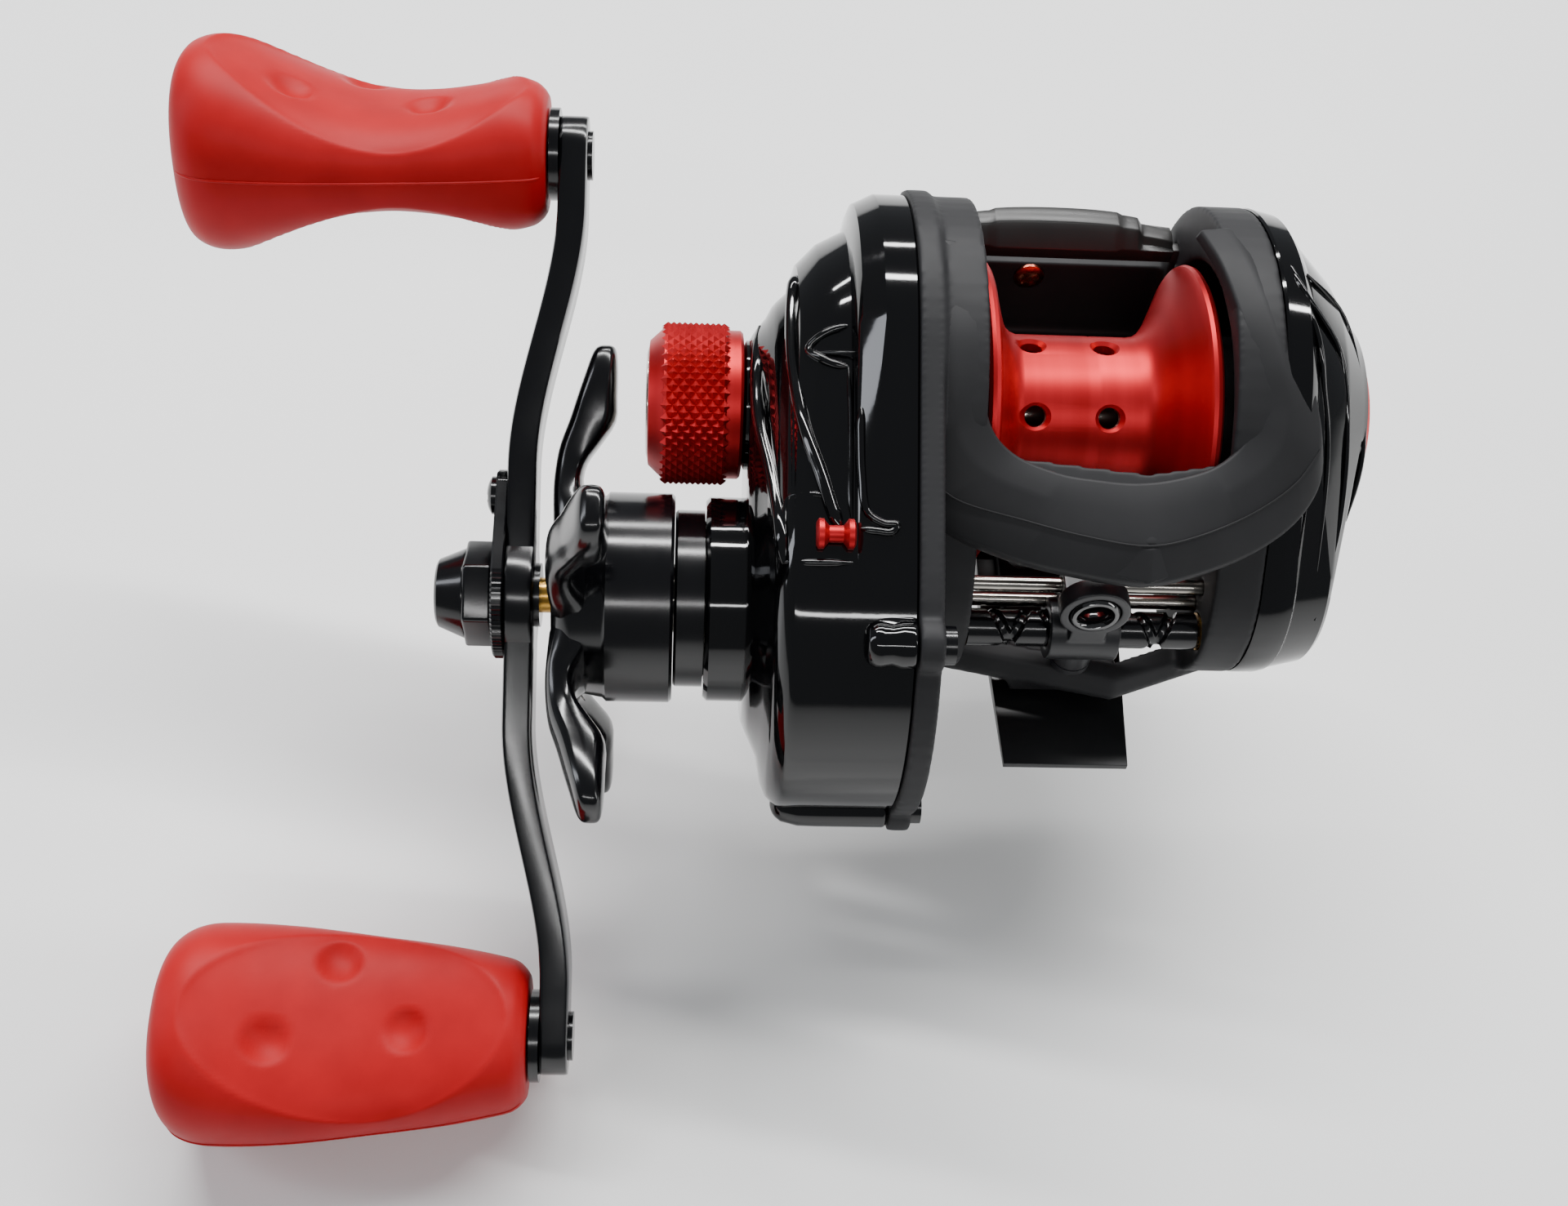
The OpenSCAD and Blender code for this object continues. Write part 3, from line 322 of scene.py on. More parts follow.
def turned(profile, at, sides=96, closed=True):
    """Points and faces of an (x, radius) profile turned about an axis along x."""
    verts, faces = [], []
    for x, r in profile:
        verts += [(x, at[0] + r * math.cos(2 * math.pi * i / sides),
                   at[1] + r * math.sin(2 * math.pi * i / sides)) for i in range(sides)]
    steps = len(profile) if closed else len(profile) - 1
    for k in range(steps):
        a, b = k * sides, (k + 1) % len(profile) * sides
        faces += [(a + i, a + (i + 1) % sides, b + (i + 1) % sides, b + i) for i in range(sides)]
    if not closed:
        faces += [tuple(range(sides)), tuple((len(profile) - 1) * sides + i for i in range(sides))]
    return verts, faces


def joined(*parts):
    """Several (points, faces) sets as one."""
    verts, faces = [], []
    for v, f in parts:
        faces += [tuple(i + len(verts) for i in face) for face in f]
        verts += list(v)
    return verts, faces


lacquer, tree, shader, place = finish_of("piano_black_lacquer", "#040405", 0.06)
speckle(tree, shader, place, 3.5, 0.012)

rear = (3.0, spool_at[1] + 0.2)
plate_x = reach("gear_side_cover")[1].x
step_depth, cover_depth = 6, 13
step_x, case_x = plate_x - step_depth, plate_x - cover_depth
boss_x, neck_x = reach("roller_clutch")[0].x, reach("gear_side_cover")[0].x
case_r = 22.4
crank = tuple(crank_at)
spool = tuple(spool_at)
cover_shell = lofted([
    ring_of(plate_x, rear, 20.5, crank, case_r - 0.2),
    ring_of(plate_x - 0.25, rear, 20.7, crank, case_r),
    ring_of(plate_x - 3.4, rear, 20.7, crank, case_r),
    ring_of(step_x + 0.4, rear, 19.6, crank, case_r),
    ring_of(step_x, (2.6, 22.2), 18.9, crank, case_r),
    ring_of(step_x - 0.25, (2.4, 22.2), 17.9, crank, case_r),
    ring_of(step_x - 0.5, (2.2, 22.1), 17.3, crank, case_r),
    ring_of(step_x - 3.4, (1.4, 22.0), 16.4, crank, case_r),
    ring_of(case_x + 1.5, (0.7, 22.0), 14.7, crank, case_r),
    ring_of(case_x + 0.9, (0.4, 22.0), 13.0, crank, case_r - 0.1),
    ring_of(case_x + 0.6, (0.2, 22.0), 12.0, crank, case_r - 0.25),
    ring_of(case_x - 0.4, spool, 11.2, crank, case_r - 1.2),
    ring_of(case_x - 0.9, spool, 10.6, crank, case_r - 2.4),
    ring_of(case_x - 1.5, spool, 9.4, crank, case_r - 5.4),
    ring_of(case_x - 2.6, spool, 8.0, crank, 14.6),
    ring_of(case_x - 3.2, spool, 7.0, crank, 13.2)])
clutch_boss = turned([(boss_x, 8.4), (boss_x, 10.6), (boss_x + 0.45, 11.05), (boss_x + 9, 11.05),
                      (boss_x + 9, 8.4)], crank)
knob_boss = turned([(neck_x, 4.2), (neck_x, 5.6), (neck_x + 0.3, 5.9), (neck_x + 6.6, 5.9),
                    (neck_x + 7.0, 7.0), (neck_x + 11, 7.0), (neck_x + 11, 4.2)], spool)
low_screw, high_screw = (-35.35, -2.78), (-33.15, 25.62)
bullet = turned([(case_x + 0.2, 0.2), (case_x + 0.5, 1.2), (case_x + 1.4, 1.9), (case_x + 3.2, 2.35),
                 (case_x + 5, 2.4), (plate_x - 0.1, 2.4)], low_screw, 48, False)
lug = turned([(plate_x - 5.3, 0.2), (plate_x - 5.2, 1.4), (plate_x - 4.7, 2.0), (plate_x - 3.9, 2.4),
              (plate_x - 2.6, 2.1), (plate_x - 1.6, 2.4), (plate_x - 0.1, 2.4)], high_screw, 48, False)
web_back = [(plate_x - 0.1, y, z) for y, z in ((-31, 27.6), (-33.2, 27.6), (-34.2, 24), (-31, 21.6))]
web_front = [(plate_x - 4.2, y, z) for y, z in ((-30.6, 27.3), (-32.2, 27.3), (-33.2, 24), (-30.6, 21.9))]
low_back = [(plate_x - 0.1, y, z) for y, z in ((-31, 2.6), (-34.9, -0.6), (-35.6, -4.9), (-26, -7))]
low_front = [(case_x + 2.6, y, z) for y, z in ((-31, 1.4), (-34.4, -1.2), (-35.2, -4.5), (-28, -6))]
bosses = joined(bullet, lug, lofted([web_back, web_front]), lofted([low_back, low_front]))
mesh_piece("gear_cover", solid("gear_cover", *joined(cover_shell, clutch_boss, knob_boss)), lacquer,
           "reel_body", ["gear_side_cover"], 24)
mesh_piece("gear_cover_bosses", rounded(solid("bosses", *bosses), 0.5, 4), lacquer, "reel_body", [],
           40)

# ---------------------------------------------------------------- palm-side plate
# Twist-off plate on the other side, lacquered like the cover and cut in broad facets
# whose edges catch the light.
nose = (-13.0, spool_at[1] - 8)
palm_x0, palm_x1 = reach("palm_side_plate")[0].x, reach("palm_side_plate")[1].x
palm_shell = lofted([
    ring_of(palm_x0, rear, 20.6, nose, 12.4),
    ring_of(palm_x0 + 0.3, rear, 20.7, nose, 12.5),
    ring_of(palm_x0 + 2.6, (2.8, 22.2), 20.3, nose, 12.5),
    ring_of(palm_x0 + 3.5, (2.6, 22.2), 19.3, nose, 12.3),
    ring_of(palm_x0 + 3.7, (2.5, 22.2), 18.9, nose, 12.1),
    ring_of(palm_x0 + 7.6, (1.2, 22.0), 15.8, (-12.2, 13.6), 11.7),
    ring_of(palm_x0 + 8.1, (1.0, 22.0), 15.2, (-12, 13.5), 11.4),
    ring_of(palm_x1 - 0.7, (0.5, 22.0), 11.6, (-8.2, 14.8), 7.0),
    ring_of(palm_x1, (0.4, 22.0), 10.9, (-7.5, 15), 6.0)])
mesh_piece("palm_plate", solid("palm_plate", *palm_shell), lacquer, "reel_body",
           ["palm_side_plate"], 20)

# ---------------------------------------------------------------- spool
# Turned aluminium spool, drilled to save weight and anodised red. The lathe leaves fine
# rings, so its shine is drawn out along the axis.
red_anodised, tree, shader, place = finish_of("red_anodised_aluminium", "#B41A22", 0.42, Metallic=0.8)
along = add(tree, "ShaderNodeSeparateXYZ", [("Vector", place)])
lay = add(tree, "ShaderNodeTexNoise", [("W", along.outputs["X"])], noise_dimensions="1D", Scale=7000,
          Detail=3)
cut = add(tree, "ShaderNodeBump", [("Height", lay.outputs["Fac"])], Strength=0.25, Distance=0.00001)
tree.links.new(cut.outputs["Normal"], shader.inputs["Normal"])
band = add(tree, "ShaderNodeTexNoise", [("W", along.outputs["X"])], noise_dimensions="1D", Scale=420,
           Detail=2)
dye = add(tree, "ShaderNodeValToRGB", [("Fac", band.outputs["Fac"])])
dye.color_ramp.elements[0].position, dye.color_ramp.elements[1].position = 0.35, 0.65
dye.color_ramp.elements[0].color, dye.color_ramp.elements[1].color = shade("#AE181F"), shade("#BC2027")
tree.links.new(dye.outputs["Color"], shader.inputs["Base Color"])

half_w, flange_r, arbor_r = 12.0, 16.6, 8.6
spool_profile = [
    (-half_w, 4.6), (-half_w, 16.0), (-half_w + 0.3, 16.5), (-half_w + 0.7, flange_r),
    (-half_w + 1.1, 16.45), (-half_w + 1.35, 16.1), (-half_w + 1.5, 15.5), (-half_w + 2.4, 12.6),
    (-half_w + 3.1, 10.6), (-half_w + 3.7, 9.5), (-half_w + 4.4, 8.9), (-half_w + 5.2, arbor_r),
    (1.0, arbor_r), (1.25, arbor_r - 0.05), (1.5, arbor_r), (half_w - 6.6, arbor_r),
    (half_w - 5.7, 8.75), (half_w - 4.9, 9.3), (half_w - 4.2, 10.2), (half_w - 3.4, 11.5),
    (half_w - 1.6, 15.4), (half_w - 1.35, 16.1), (half_w - 1.1, 16.45), (half_w - 0.7, flange_r),
    (half_w - 0.3, 16.5), (half_w, 16.1), (half_w, 15.6), (half_w - 3.6, 7.2), (half_w - 3.6, 2.5),
    (half_w - 5, 2.5), (half_w - 5, 7.3), (-half_w + 4, 7.3), (-half_w + 4, 2.5), (-half_w + 2.4, 2.5),
    (-half_w + 2.4, 4.6)]
drills = []
for row in (-5.7, 2.2):
    for i in range(6):
        tilt = math.radians(60 * i + 43)
        hole, hole_faces = turned([(6, 1.15), (8.1, 1.15), (8.75, 1.75), (9.5, 2.5)], (0, 0), 32, False)
        drills.append(([(row + a, -math.sin(tilt) * x + math.cos(tilt) * b,
                         spool_at[1] + math.cos(tilt) * x + math.sin(tilt) * b)
                        for x, a, b in hole], hole_faces))
drill = bpy.data.objects.new("drill", solid("drill", *joined(*drills)))
bpy.context.scene.collection.objects.link(drill)
spool_mesh = applied(solid("spool_blank", *turned(spool_profile, spool, 144)),
                     ("BOOLEAN", dict(object=drill, operation="DIFFERENCE", solver="EXACT")))
bpy.data.objects.remove(drill)
mesh_piece("spool_body_red", spool_mesh, red_anodised, "spool_body", ["spool"], 28)

# ---------------------------------------------------------------- roof over the line guide
# The frame's broad roof sweeps round from the left arm to the flared right arm. A fine
# parting line runs along its crease, and a soft lip turns down in front of the guide.
# Each row is one section, from its back edge to its front edge.
ROOF = [
    # inner edge, crown, crease, lip edge of each station, from the left arm to the right
    [(-14.2, 4.6, 42.7), (-16.4, 4.8, 43.0), (-19.3, 4.6, 42.4), (-19.5, 4.4, 41.0)],
    [(-13.7, -3.9, 41.6), (-16.2, -4.2, 41.7), (-19.3, -4.8, 40.8), (-19.5, -5.0, 39.4)],
    [(-13.2, -9.1, 38.9), (-16.0, -9.8, 38.8), (-19.3, -11.0, 37.0), (-19.5, -11.4, 35.4)],
    [(-12.2, -12.9, 35.2), (-15.4, -14.0, 34.6), (-19.0, -15.4, 32.0), (-19.5, -16.2, 29.6)],
    [(-9.6, -15.0, 33.1), (-12.4, -16.8, 32.2), (-15.6, -18.4, 30.0), (-17.2, -19.6, 27.4)],
    [(-5.2, -16.6, 32.3), (-6.8, -18.9, 31.2), (-8.6, -20.6, 29.5), (-9.8, -22.8, 26.3)],
    [(-1.2, -17.2, 32.1), (-1.6, -19.9, 30.8), (-2.4, -22.3, 29.3), (-3.2, -24.6, 26.1)],
    [(2.6, -17.4, 32.0), (3.2, -20.3, 30.7), (3.6, -23.2, 29.2), (4.0, -25.6, 26.0)],
    [(6.6, -16.9, 32.2), (7.8, -19.5, 31.0), (8.8, -22.0, 29.4), (9.8, -24.2, 26.2)],
    [(10.8, -15.6, 32.8), (12.8, -17.6, 31.9), (14.6, -19.4, 30.0), (15.8, -21.6, 26.8)],
    [(13.6, -13.6, 34.4), (16.4, -15.2, 33.8), (19.0, -16.8, 31.8), (20.2, -18.6, 28.6)],
    [(14.3, -11.2, 36.8), (17.6, -12.6, 36.4), (21.4, -14.0, 34.0), (22.2, -15.2, 31.4)],
    [(13.8, -7.7, 39.8), (17.0, -8.6, 39.6), (20.6, -9.8, 37.6), (21.2, -10.6, 35.4)],
    [(12.6, -3.0, 42.0), (15.6, -3.0, 42.1), (18.7, -3.4, 40.9), (19.2, -3.8, 39.2)],
    [(11.4, 2.9, 42.9), (14.2, 3.2, 43.1), (17.2, 3.2, 42.2), (17.7, 3.0, 40.8)],
    [(10.4, 8.4, 42.0), (13.2, 8.8, 42.2), (16.6, 8.8, 41.4), (17.3, 8.6, 40.0)]]
DOWN = Vector((0, 0.45, -0.9))


def strip_of(stations, depth):
    """Closed skin over open sections, thickened downwards."""
    rings = []
    for section in stations:
        top = [Vector(p) for p in section]
        under = [p + DOWN * depth for p in reversed(top)]
        rings.append([tuple(p) for p in top + under])
    return rings


def smooth_path(stations, steps):
    """Stations filled in by a Catmull-Rom curve through each point."""
    filled = []
    for k in range(len(stations) - 1):
        around = [stations[min(max(k + d, 0), len(stations) - 1)] for d in (-1, 0, 1, 2)]
        for s in range(steps):
            t = s / steps
            filled.append([tuple(0.5 * (2 * b + (c - a) * t + (2 * a - 5 * b + 4 * c - d) * t * t
                                        + (3 * b - a - 3 * c + d) * t ** 3)
                                 for a, b, c, d in zip(*points)) for points in zip(*around)])
    return filled + [stations[-1]]


roof_rings = strip_of(smooth_path(ROOF, 6), 2.3)
roof_mesh = rounded(solid("roof", *lofted(roof_rings)), 0.45, 3, 16)
mesh_piece("roof_hood", roof_mesh, soft_black, "reel_body", [], 60)
crease = [section[2] for section in smooth_path(ROOF[3:12], 6)]


def bead(path, radius, sides=8):
    """Points and faces of a thin round bead along a path, drawn out fine at its ends."""
    rings = []
    for k, point in enumerate(path):
        ahead = Vector(path[min(k + 1, len(path) - 1)]) - Vector(path[max(k - 1, 0)])
        side = ahead.cross(Vector((0.13, 0.2, 1))).normalized()
        up = side.cross(ahead).normalized()
        here = radius * min(1, 0.3 + 0.2 * min(k, len(path) - 1 - k))
        rings.append([tuple(Vector(point) + (side * math.cos(2 * math.pi * i / sides)
                                             + up * math.sin(2 * math.pi * i / sides)) * here)
                      for i in range(sides)])
    return lofted(rings)


# The bead along the roof crease is coloured darker than the soft-touch coat: painted shade along the seam.
crease_painted_shade = finish_of("parting_line_shadow", "#0E0E10", 0.8)[0]
mesh_piece("roof_parting_line_and_shade", solid("line", *bead([(x, y - 0.02, z + 0.02) for x, y, z in crease], 0.1)),
           crease_painted_shade, "reel_body", [], 60)

# ---------------------------------------------------------------- cover ribs
# Fine raised ribs moulded into both covers: they outline the leaf-shaped panels and the
# steps between them, and catch the light as thin bright lines.
COVER_RIBS = [
    # radius, then the points along the rib
    (0.46, (-26.4, -3.4, 38.4), (-28.0, -3.6, 37.8), (-29.3, -4.1, 37.2), (-30.2, -4.9, 36.4),
     (-29.2, -6.3, 36.8), (-27.9, -7.1, 36.8), (-26.4, -7.7, 37.0)),
    (0.2, (-30.2, -5.4, 36.3), (-28.2, -6.1, 37.2), (-25.8, -6.9, 38.3)),
    (0.26, (-26.4, -7.7, 37.0), (-26.2, -11.8, 35.6), (-26.2, -16.7, 33.9), (-26.3, -19.9, 32.8),
     (-26.1, -22.8, 31.8)),
    (0.42, (-25.3, -12.7, 36.7), (-25.3, -14.9, 35.6), (-25.2, -18.5, 34.0), (-24.8, -22.1, 32.6),
     (-23.2, -23.3, 32.0), (-21.8, -23.4, 31.9), (-22.3, -24.1, 31.6), (-23.6, -24.0, 31.6),
     (-25.3, -23.8, 31.6)),
    (0.75, (-31.2, 6.5, 35.2), (-31.5, 4.1, 35.3), (-31.7, -0.3, 34.7), (-31.6, -5.5, 34.3),
     (-30.7, -13.0, 34.2), (-29.1, -18.2, 33.1), (-28.1, -21.5, 32.1), (-27.2, -23.9, 31.3)),
    (0.8, (-34.6, 5.4, 28.6), (-35.0, -1.5, 29.7), (-34.8, -8.3, 29.3), (-33.7, -15.5, 29.8),
     (-33.0, -22.2, 30.3), (-32.6, -26.5, 29.3)),
    (0.3, (-32.6, -26.0, 29.5), (-32.6, -23.3, 30.5), (-32.4, -20.4, 31.2), (-31.2, -20.0, 31.9),
     (-29.1, -20.4, 32.4), (-28.7, -21.1, 32.2)),
    (0.4, (-32.6, -26.4, 29.4), (-29.5, -26.9, 30.1), (-26.0, -26.8, 30.1))]
PALM_RIBS = [
    (0.3, (17.7, 8.5, 41.8), (18.5, 4.5, 42.3), (19.9, -0.6, 42.1), (24.1, -4.1, 37.7), (25.3, -9.9, 33.0),
     (25.6, -16.6, 25.3), (24.1, -23.6, 17.5)),
    (0.3, (17.6, 5.8, 42.6), (20.6, -3.8, 40.9), (21.9, -8.8, 36.7), (23.0, -13.1, 31.6),
     (23.3, -20.8, 22.4)),
    (0.34, (20.6, 2.4, 42.0), (26.0, 1.8, 36.6), (28.0, -4.0, 32.5), (28.8, -9.2, 27.5),
     (28.4, -13.0, 21.0))]
for name, table in (("gear_cover_ribs", COVER_RIBS), ("palm_plate_ribs", PALM_RIBS)):
    ribs = [bead([p[0] for p in smooth_path([[q] for q in row[1:]], 6)], row[0], 12) for row in table]
    mesh_piece(name, solid(name, *joined(*ribs)), lacquer, "reel_body", [], 60)

# ---------------------------------------------------------------- keeper pin
# Red-anodised aluminium pin with a flange at each end, set in the cover's front for the
# hook to hang on.
low, high = reach("keeper_pin")
pin_at = ((low.y + high.y) / 2, (low.z + high.z) / 2)
pin = turned([(-29.6, 1.15), (-29.4, 1.5), (-28.9, 1.5), (-28.7, 1.2), (-28.4, 0.85), (-27.0, 0.85),
              (-26.7, 1.2), (-26.5, 1.5), (-26.0, 1.5), (-25.8, 1.15)], pin_at, 48, False)
mesh_piece("hook_keeper_pin", solid("pin", *pin), red_anodised, "reel_body", ["keeper_pin"])

# ---------------------------------------------------------------- guide rods and worm
# Two polished steel rods steady the line guide, and the black worm below them has two
# crossed spiral grooves that carry it to and fro.
polished_steel, tree, shader, place = finish_of("polished_steel", "#A9A49C", 0.2, Metallic=1.0)
speckle(tree, shader, place, 0.35, 0.0012, 0.05, 0.17)
rods = []
rod_r, rod_edge = 0.8, 0.2
low_rod, high_rod = (2.96, 1), (2.76, 4.1)  # measured from the worm's axis
low, high = reach("guide_rods")
for from_worm_y, from_worm_z in (low_rod, high_rod):
    rods.append(turned([(low.x, 0.6), (low.x + rod_edge, rod_r), (high.x - rod_edge, rod_r), (high.x, 0.6)],
                       (worm_at[0] + from_worm_y, worm_at[1] + from_worm_z), 32, False))
mesh_piece("guide_rods_pair", solid("rods", *joined(*rods)), polished_steel, "reel_body",
           ["guide_rods"])

gloss_metal, tree, shader, place = finish_of("black_anodised_gloss", "#050507", 0.1)
speckle(tree, shader, place, 0.25, 0.0016, 0.04, 0.17)
low, high = reach("worm_shaft")
worm_start, worm_end, groove_from, worm_lead = -12.3, 12.3, 10.4, 5.2
worm_r, groove_deep, groove_half = 1.98, 0.5, 0.62
verts, faces, along_count, round_count = [], [], 300, 72
for i in range(along_count + 1):
    x = worm_start + (worm_end - worm_start) * i / along_count
    for k in range(round_count):
        turn = 2 * math.pi * k / round_count
        gap = min(abs((x / worm_lead * s + turn / (2 * math.pi) + 0.5) % 1 - 0.5) for s in (1, -1))
        deep = 0
        if abs(x) < groove_from:
            deep = groove_deep * max(0, 1 - (gap * worm_lead / groove_half) ** 4)
        radius = (worm_r if 0 < i < along_count else 1.8) - deep
        verts.append((x, worm_at[0] + radius * math.cos(turn), worm_at[1] + radius * math.sin(turn)))
for i in range(along_count):
    for k in range(round_count):
        a, b = i * round_count + k, i * round_count + (k + 1) % round_count
        faces.append((a, b, b + round_count, a + round_count))
faces += [tuple(range(round_count)), tuple(along_count * round_count + k for k in range(round_count))]
journal = turned([(low.x, 1.0), (low.x + 0.2, 1.2), (high.x - 0.2, 1.2), (high.x, 1.0)], worm_at, 40, False)
mesh_piece("worm_spiral", solid("worm", *joined((verts, faces), journal)), gloss_metal, "worm_body",
           ["worm_shaft"], 50)

# ---------------------------------------------------------------- line guide
# Moulded carriage on the worm and rods. A black ceramic ring set in its eye takes the
# wear of the line, and a brass cap below holds the pawl.
mould_black, tree, shader, place = finish_of("moulded_black_nylon", "#17171A", 0.38)
speckle(tree, shader, place, 0.2, 0.004, 0.06, 0.38)
mesh_piece("line_guide_carriage", cast(from_cad("line_guide"), 0.13, 3), mould_black, "carriage",
           ["line_guide"], 50)
ceramic, tree, shader, place = finish_of("black_ceramic", "#0B0B0C", 0.09, IOR=1.9)
speckle(tree, shader, place, 0.6, 0.001)
low, high = reach("line_guide_ring")
eye = ((low.x + high.x) / 2, (low.z + high.z) / 2)
half_ring, ring_mid = (high.y - low.y) / 2, (low.y + high.y) / 2
ring_r, ring_wall, ring_turns, ring_sides = 2.17, 0.52, 64, 20
verts, faces = [], []
for i in range(ring_turns):
    turn = 2 * math.pi * i / ring_turns
    for k in range(ring_sides):
        roll_in = 2 * math.pi * k / ring_sides
        radius = ring_r + ring_wall * math.copysign(abs(math.cos(roll_in)) ** 0.8, math.cos(roll_in))
        verts.append((eye[0] + radius * math.cos(turn), ring_mid + half_ring * math.sin(roll_in),
                      eye[1] + radius * math.sin(turn)))
        here, ahead = i * ring_sides, (i + 1) % ring_turns * ring_sides
        beyond = (k + 1) % ring_sides
        faces.append((here + k, here + beyond, ahead + beyond, ahead + k))
mesh_piece("line_guide_ceramic", solid("ring", verts, faces), ceramic, "carriage",
           ["line_guide_ring"])

# ---------------------------------------------------------------- thumb bar
# Clutch bar behind the spool: a satin moulding in three overlapping leaves, with a tab
# at its right end.
satin_black, tree, shader, place = finish_of("satin_black_plastic", "#242322", 0.4)
speckle(tree, shader, place, 0.3, 0.004, 0.07, 0.4)
low, high = reach("thumb_bar")
bar_y, bar_z = 18.0, low.z
stations = []
for i in range(41):
    x = -12 + 24 * i / 40
    crown = 1 - (abs(x + 1.5) / 13.5) ** 2.4
    drop = 1.3 * (1 - crown) + (0.8 if x > 8.2 else 0)
    leaf = 0.28 if -8.5 < x < 6.0 else 0.0
    top, back = bar_z + 4.5 - drop + leaf, bar_y + 4.1 - 0.7 * (1 - crown)
    stations.append([(x, bar_y, bar_z), (x, bar_y - 0.35 - leaf, bar_z + 2.0), (x, bar_y + 0.5, top - 0.9),
                     (x, bar_y + 0.95, top - 0.12), (x, bar_y + 1.9, top + 0.05), (x, back - 0.9, top),
                     (x, back, bar_z + 2.2), (x, bar_y + 3.3, bar_z)])
bar_mesh = rounded(solid("bar", *lofted(stations)), 0.14, 2, 24)
mesh_piece("thumb_bar_leaves", bar_mesh, satin_black, "bar_body", ["thumb_bar"], 24)
tongues = []
for x0, x1 in ((plate_x - 0.1, -11.9), (11.9, 13.7)):
    tongues.append(([(x, bar_y - 0.2 + y, bar_z + z) for x in (x0, x1)
                     for y, z in ((0, 0), (1.3, 0), (1.3, 2), (0, 2))],
                    [(0, 1, 2, 3), (4, 5, 6, 7), (0, 1, 5, 4), (1, 2, 6, 5), (2, 3, 7, 6), (3, 0, 4, 7)]))
mesh_piece("thumb_bar_tongues", rounded(solid("tongues", *joined(*tongues)), 0.15, 2), satin_black,
           "bar_body", [])


# ---------------------------------------------------------------- small screws
# Machine screws with domed, cross-recessed heads: one copper-plated in the wall behind
# the spool, the others black or steel.
def screw_head(radius, height, sides=48):
    """A domed head along +x from the origin, with a cross recess cut by its surface grid."""
    verts, faces, rings = [], [], 14
    verts.append((height - 0.32 * height, 0, 0))
    for k in range(1, rings + 1):
        share = k / rings
        for i in range(sides):
            turn = 2 * math.pi * i / sides
            y, z = radius * share * math.cos(turn), radius * share * math.sin(turn)
            bar = min(abs(y), abs(z)) < radius * 0.16 and max(abs(y), abs(z)) < radius * 0.6
            verts.append((height * (1 - 0.5 * share ** 3) - (0.42 * height if bar else 0), y, z))
    for i in range(sides):
        faces.append((0, 1 + i, 1 + (i + 1) % sides))
        for k in range(rings - 1):
            a, b = 1 + k * sides, 1 + (k + 1) * sides
            faces.append((a + i, b + i, b + (i + 1) % sides, a + (i + 1) % sides))
    last = 1 + (rings - 1) * sides
    verts += [(0, radius * math.cos(2 * math.pi * i / sides), radius * math.sin(2 * math.pi * i / sides))
              for i in range(sides)]
    faces += [(last + i, last + sides + i, last + sides + (i + 1) % sides, last + (i + 1) % sides)
              for i in range(sides)]
    faces.append(tuple(last + sides + i for i in range(sides)))
    return verts, faces


def set_at(part, at, way, turn=0.0):
    """A part built along +x, moved so that +x points along a direction."""
    spin = Vector(way).to_track_quat("X", "Z").to_matrix() @ Matrix.Rotation(turn, 3, "X")
    return [tuple(spin @ Vector(v) + Vector(at)) for v in part[0]], part[1]


copper, tree, shader, place = finish_of("copper_plated_steel", "#8E4A3C", 0.28, Metallic=1.0)
two_tone(tree, shader, place, "#6E3228", "#B5654E", 0.6)
speckle(tree, shader, place, 0.2, 0.003)
low, high = reach("rear_wall_screw")
wall_screw = set_at(screw_head(1.72, 0.7), ((low.x + high.x) / 2, low.y + 0.7, (low.z + high.z) / 2),
                    (0, -1, 0), 0.5)
mesh_piece("wall_screw", solid("wall_screw", *wall_screw), copper, "reel_body", ["rear_wall_screw"],
           30)

# ---------------------------------------------------------------- cast-control knob
# Turned and red-anodised aluminium cap that presses on the spool shaft. Its grip is
# knurled with staggered rows of small teeth and a bright disc closes its end.
low, high = reach("cast_control_knob")
knob_x, knurl_r = low.x, 8.25
cap = turned([(knob_x + 0.5, 6.05), (knob_x + 0.02, 6.1), (knob_x + 0.1, 6.7), (knob_x + 1.55, 8.05),
              (knob_x + 1.7, knurl_r), (knob_x + 8.1, knurl_r), (knob_x + 8.3, 8.0), (high.x - 0.35, 8.0),
              (high.x - 0.08, 7.75), (high.x, 7.3), (high.x, 6.0), (knob_x + 3.6, 6.0)], spool, 120)
cap_mesh = solid("cap", *cap)
seed_mesh = bpy.data.meshes.new("axis_mark")
seed_mesh.from_pydata([(0, 0, 0)], [], [])
knurl_maker = bpy.data.objects.new("knurl_maker", seed_mesh)
bpy.context.scene.collection.objects.link(knurl_maker)
knurl_tree = bpy.data.node_groups.new("diamond_knurl", "GeometryNodeTree")
face_of = knurl_tree.interface
face_of.new_socket("Geometry", in_out="OUTPUT", socket_type="NodeSocketGeometry")
for label, kind in (("Start", "Float"), ("Rows", "Int"), ("Teeth", "Int"), ("Pitch", "Float"),
                    ("Radius", "Float"), ("Axis height", "Float")):
    face_of.new_socket(label, in_out="INPUT", socket_type="NodeSocket" + kind)
face_of.new_socket("Finish", in_out="INPUT", socket_type="NodeSocketMaterial")
given = add(knurl_tree, "NodeGroupInput").outputs


def calc(operation, *terms):
    """Result of a maths node of the knurl tree, fed by sockets or plain numbers."""
    node = add(knurl_tree, "ShaderNodeMath", operation=operation)
    for socket, term in zip(node.inputs, terms):
        if isinstance(term, float):
            socket.default_value = term
        else:
            knurl_tree.links.new(term, socket)
    return node.outputs[0]


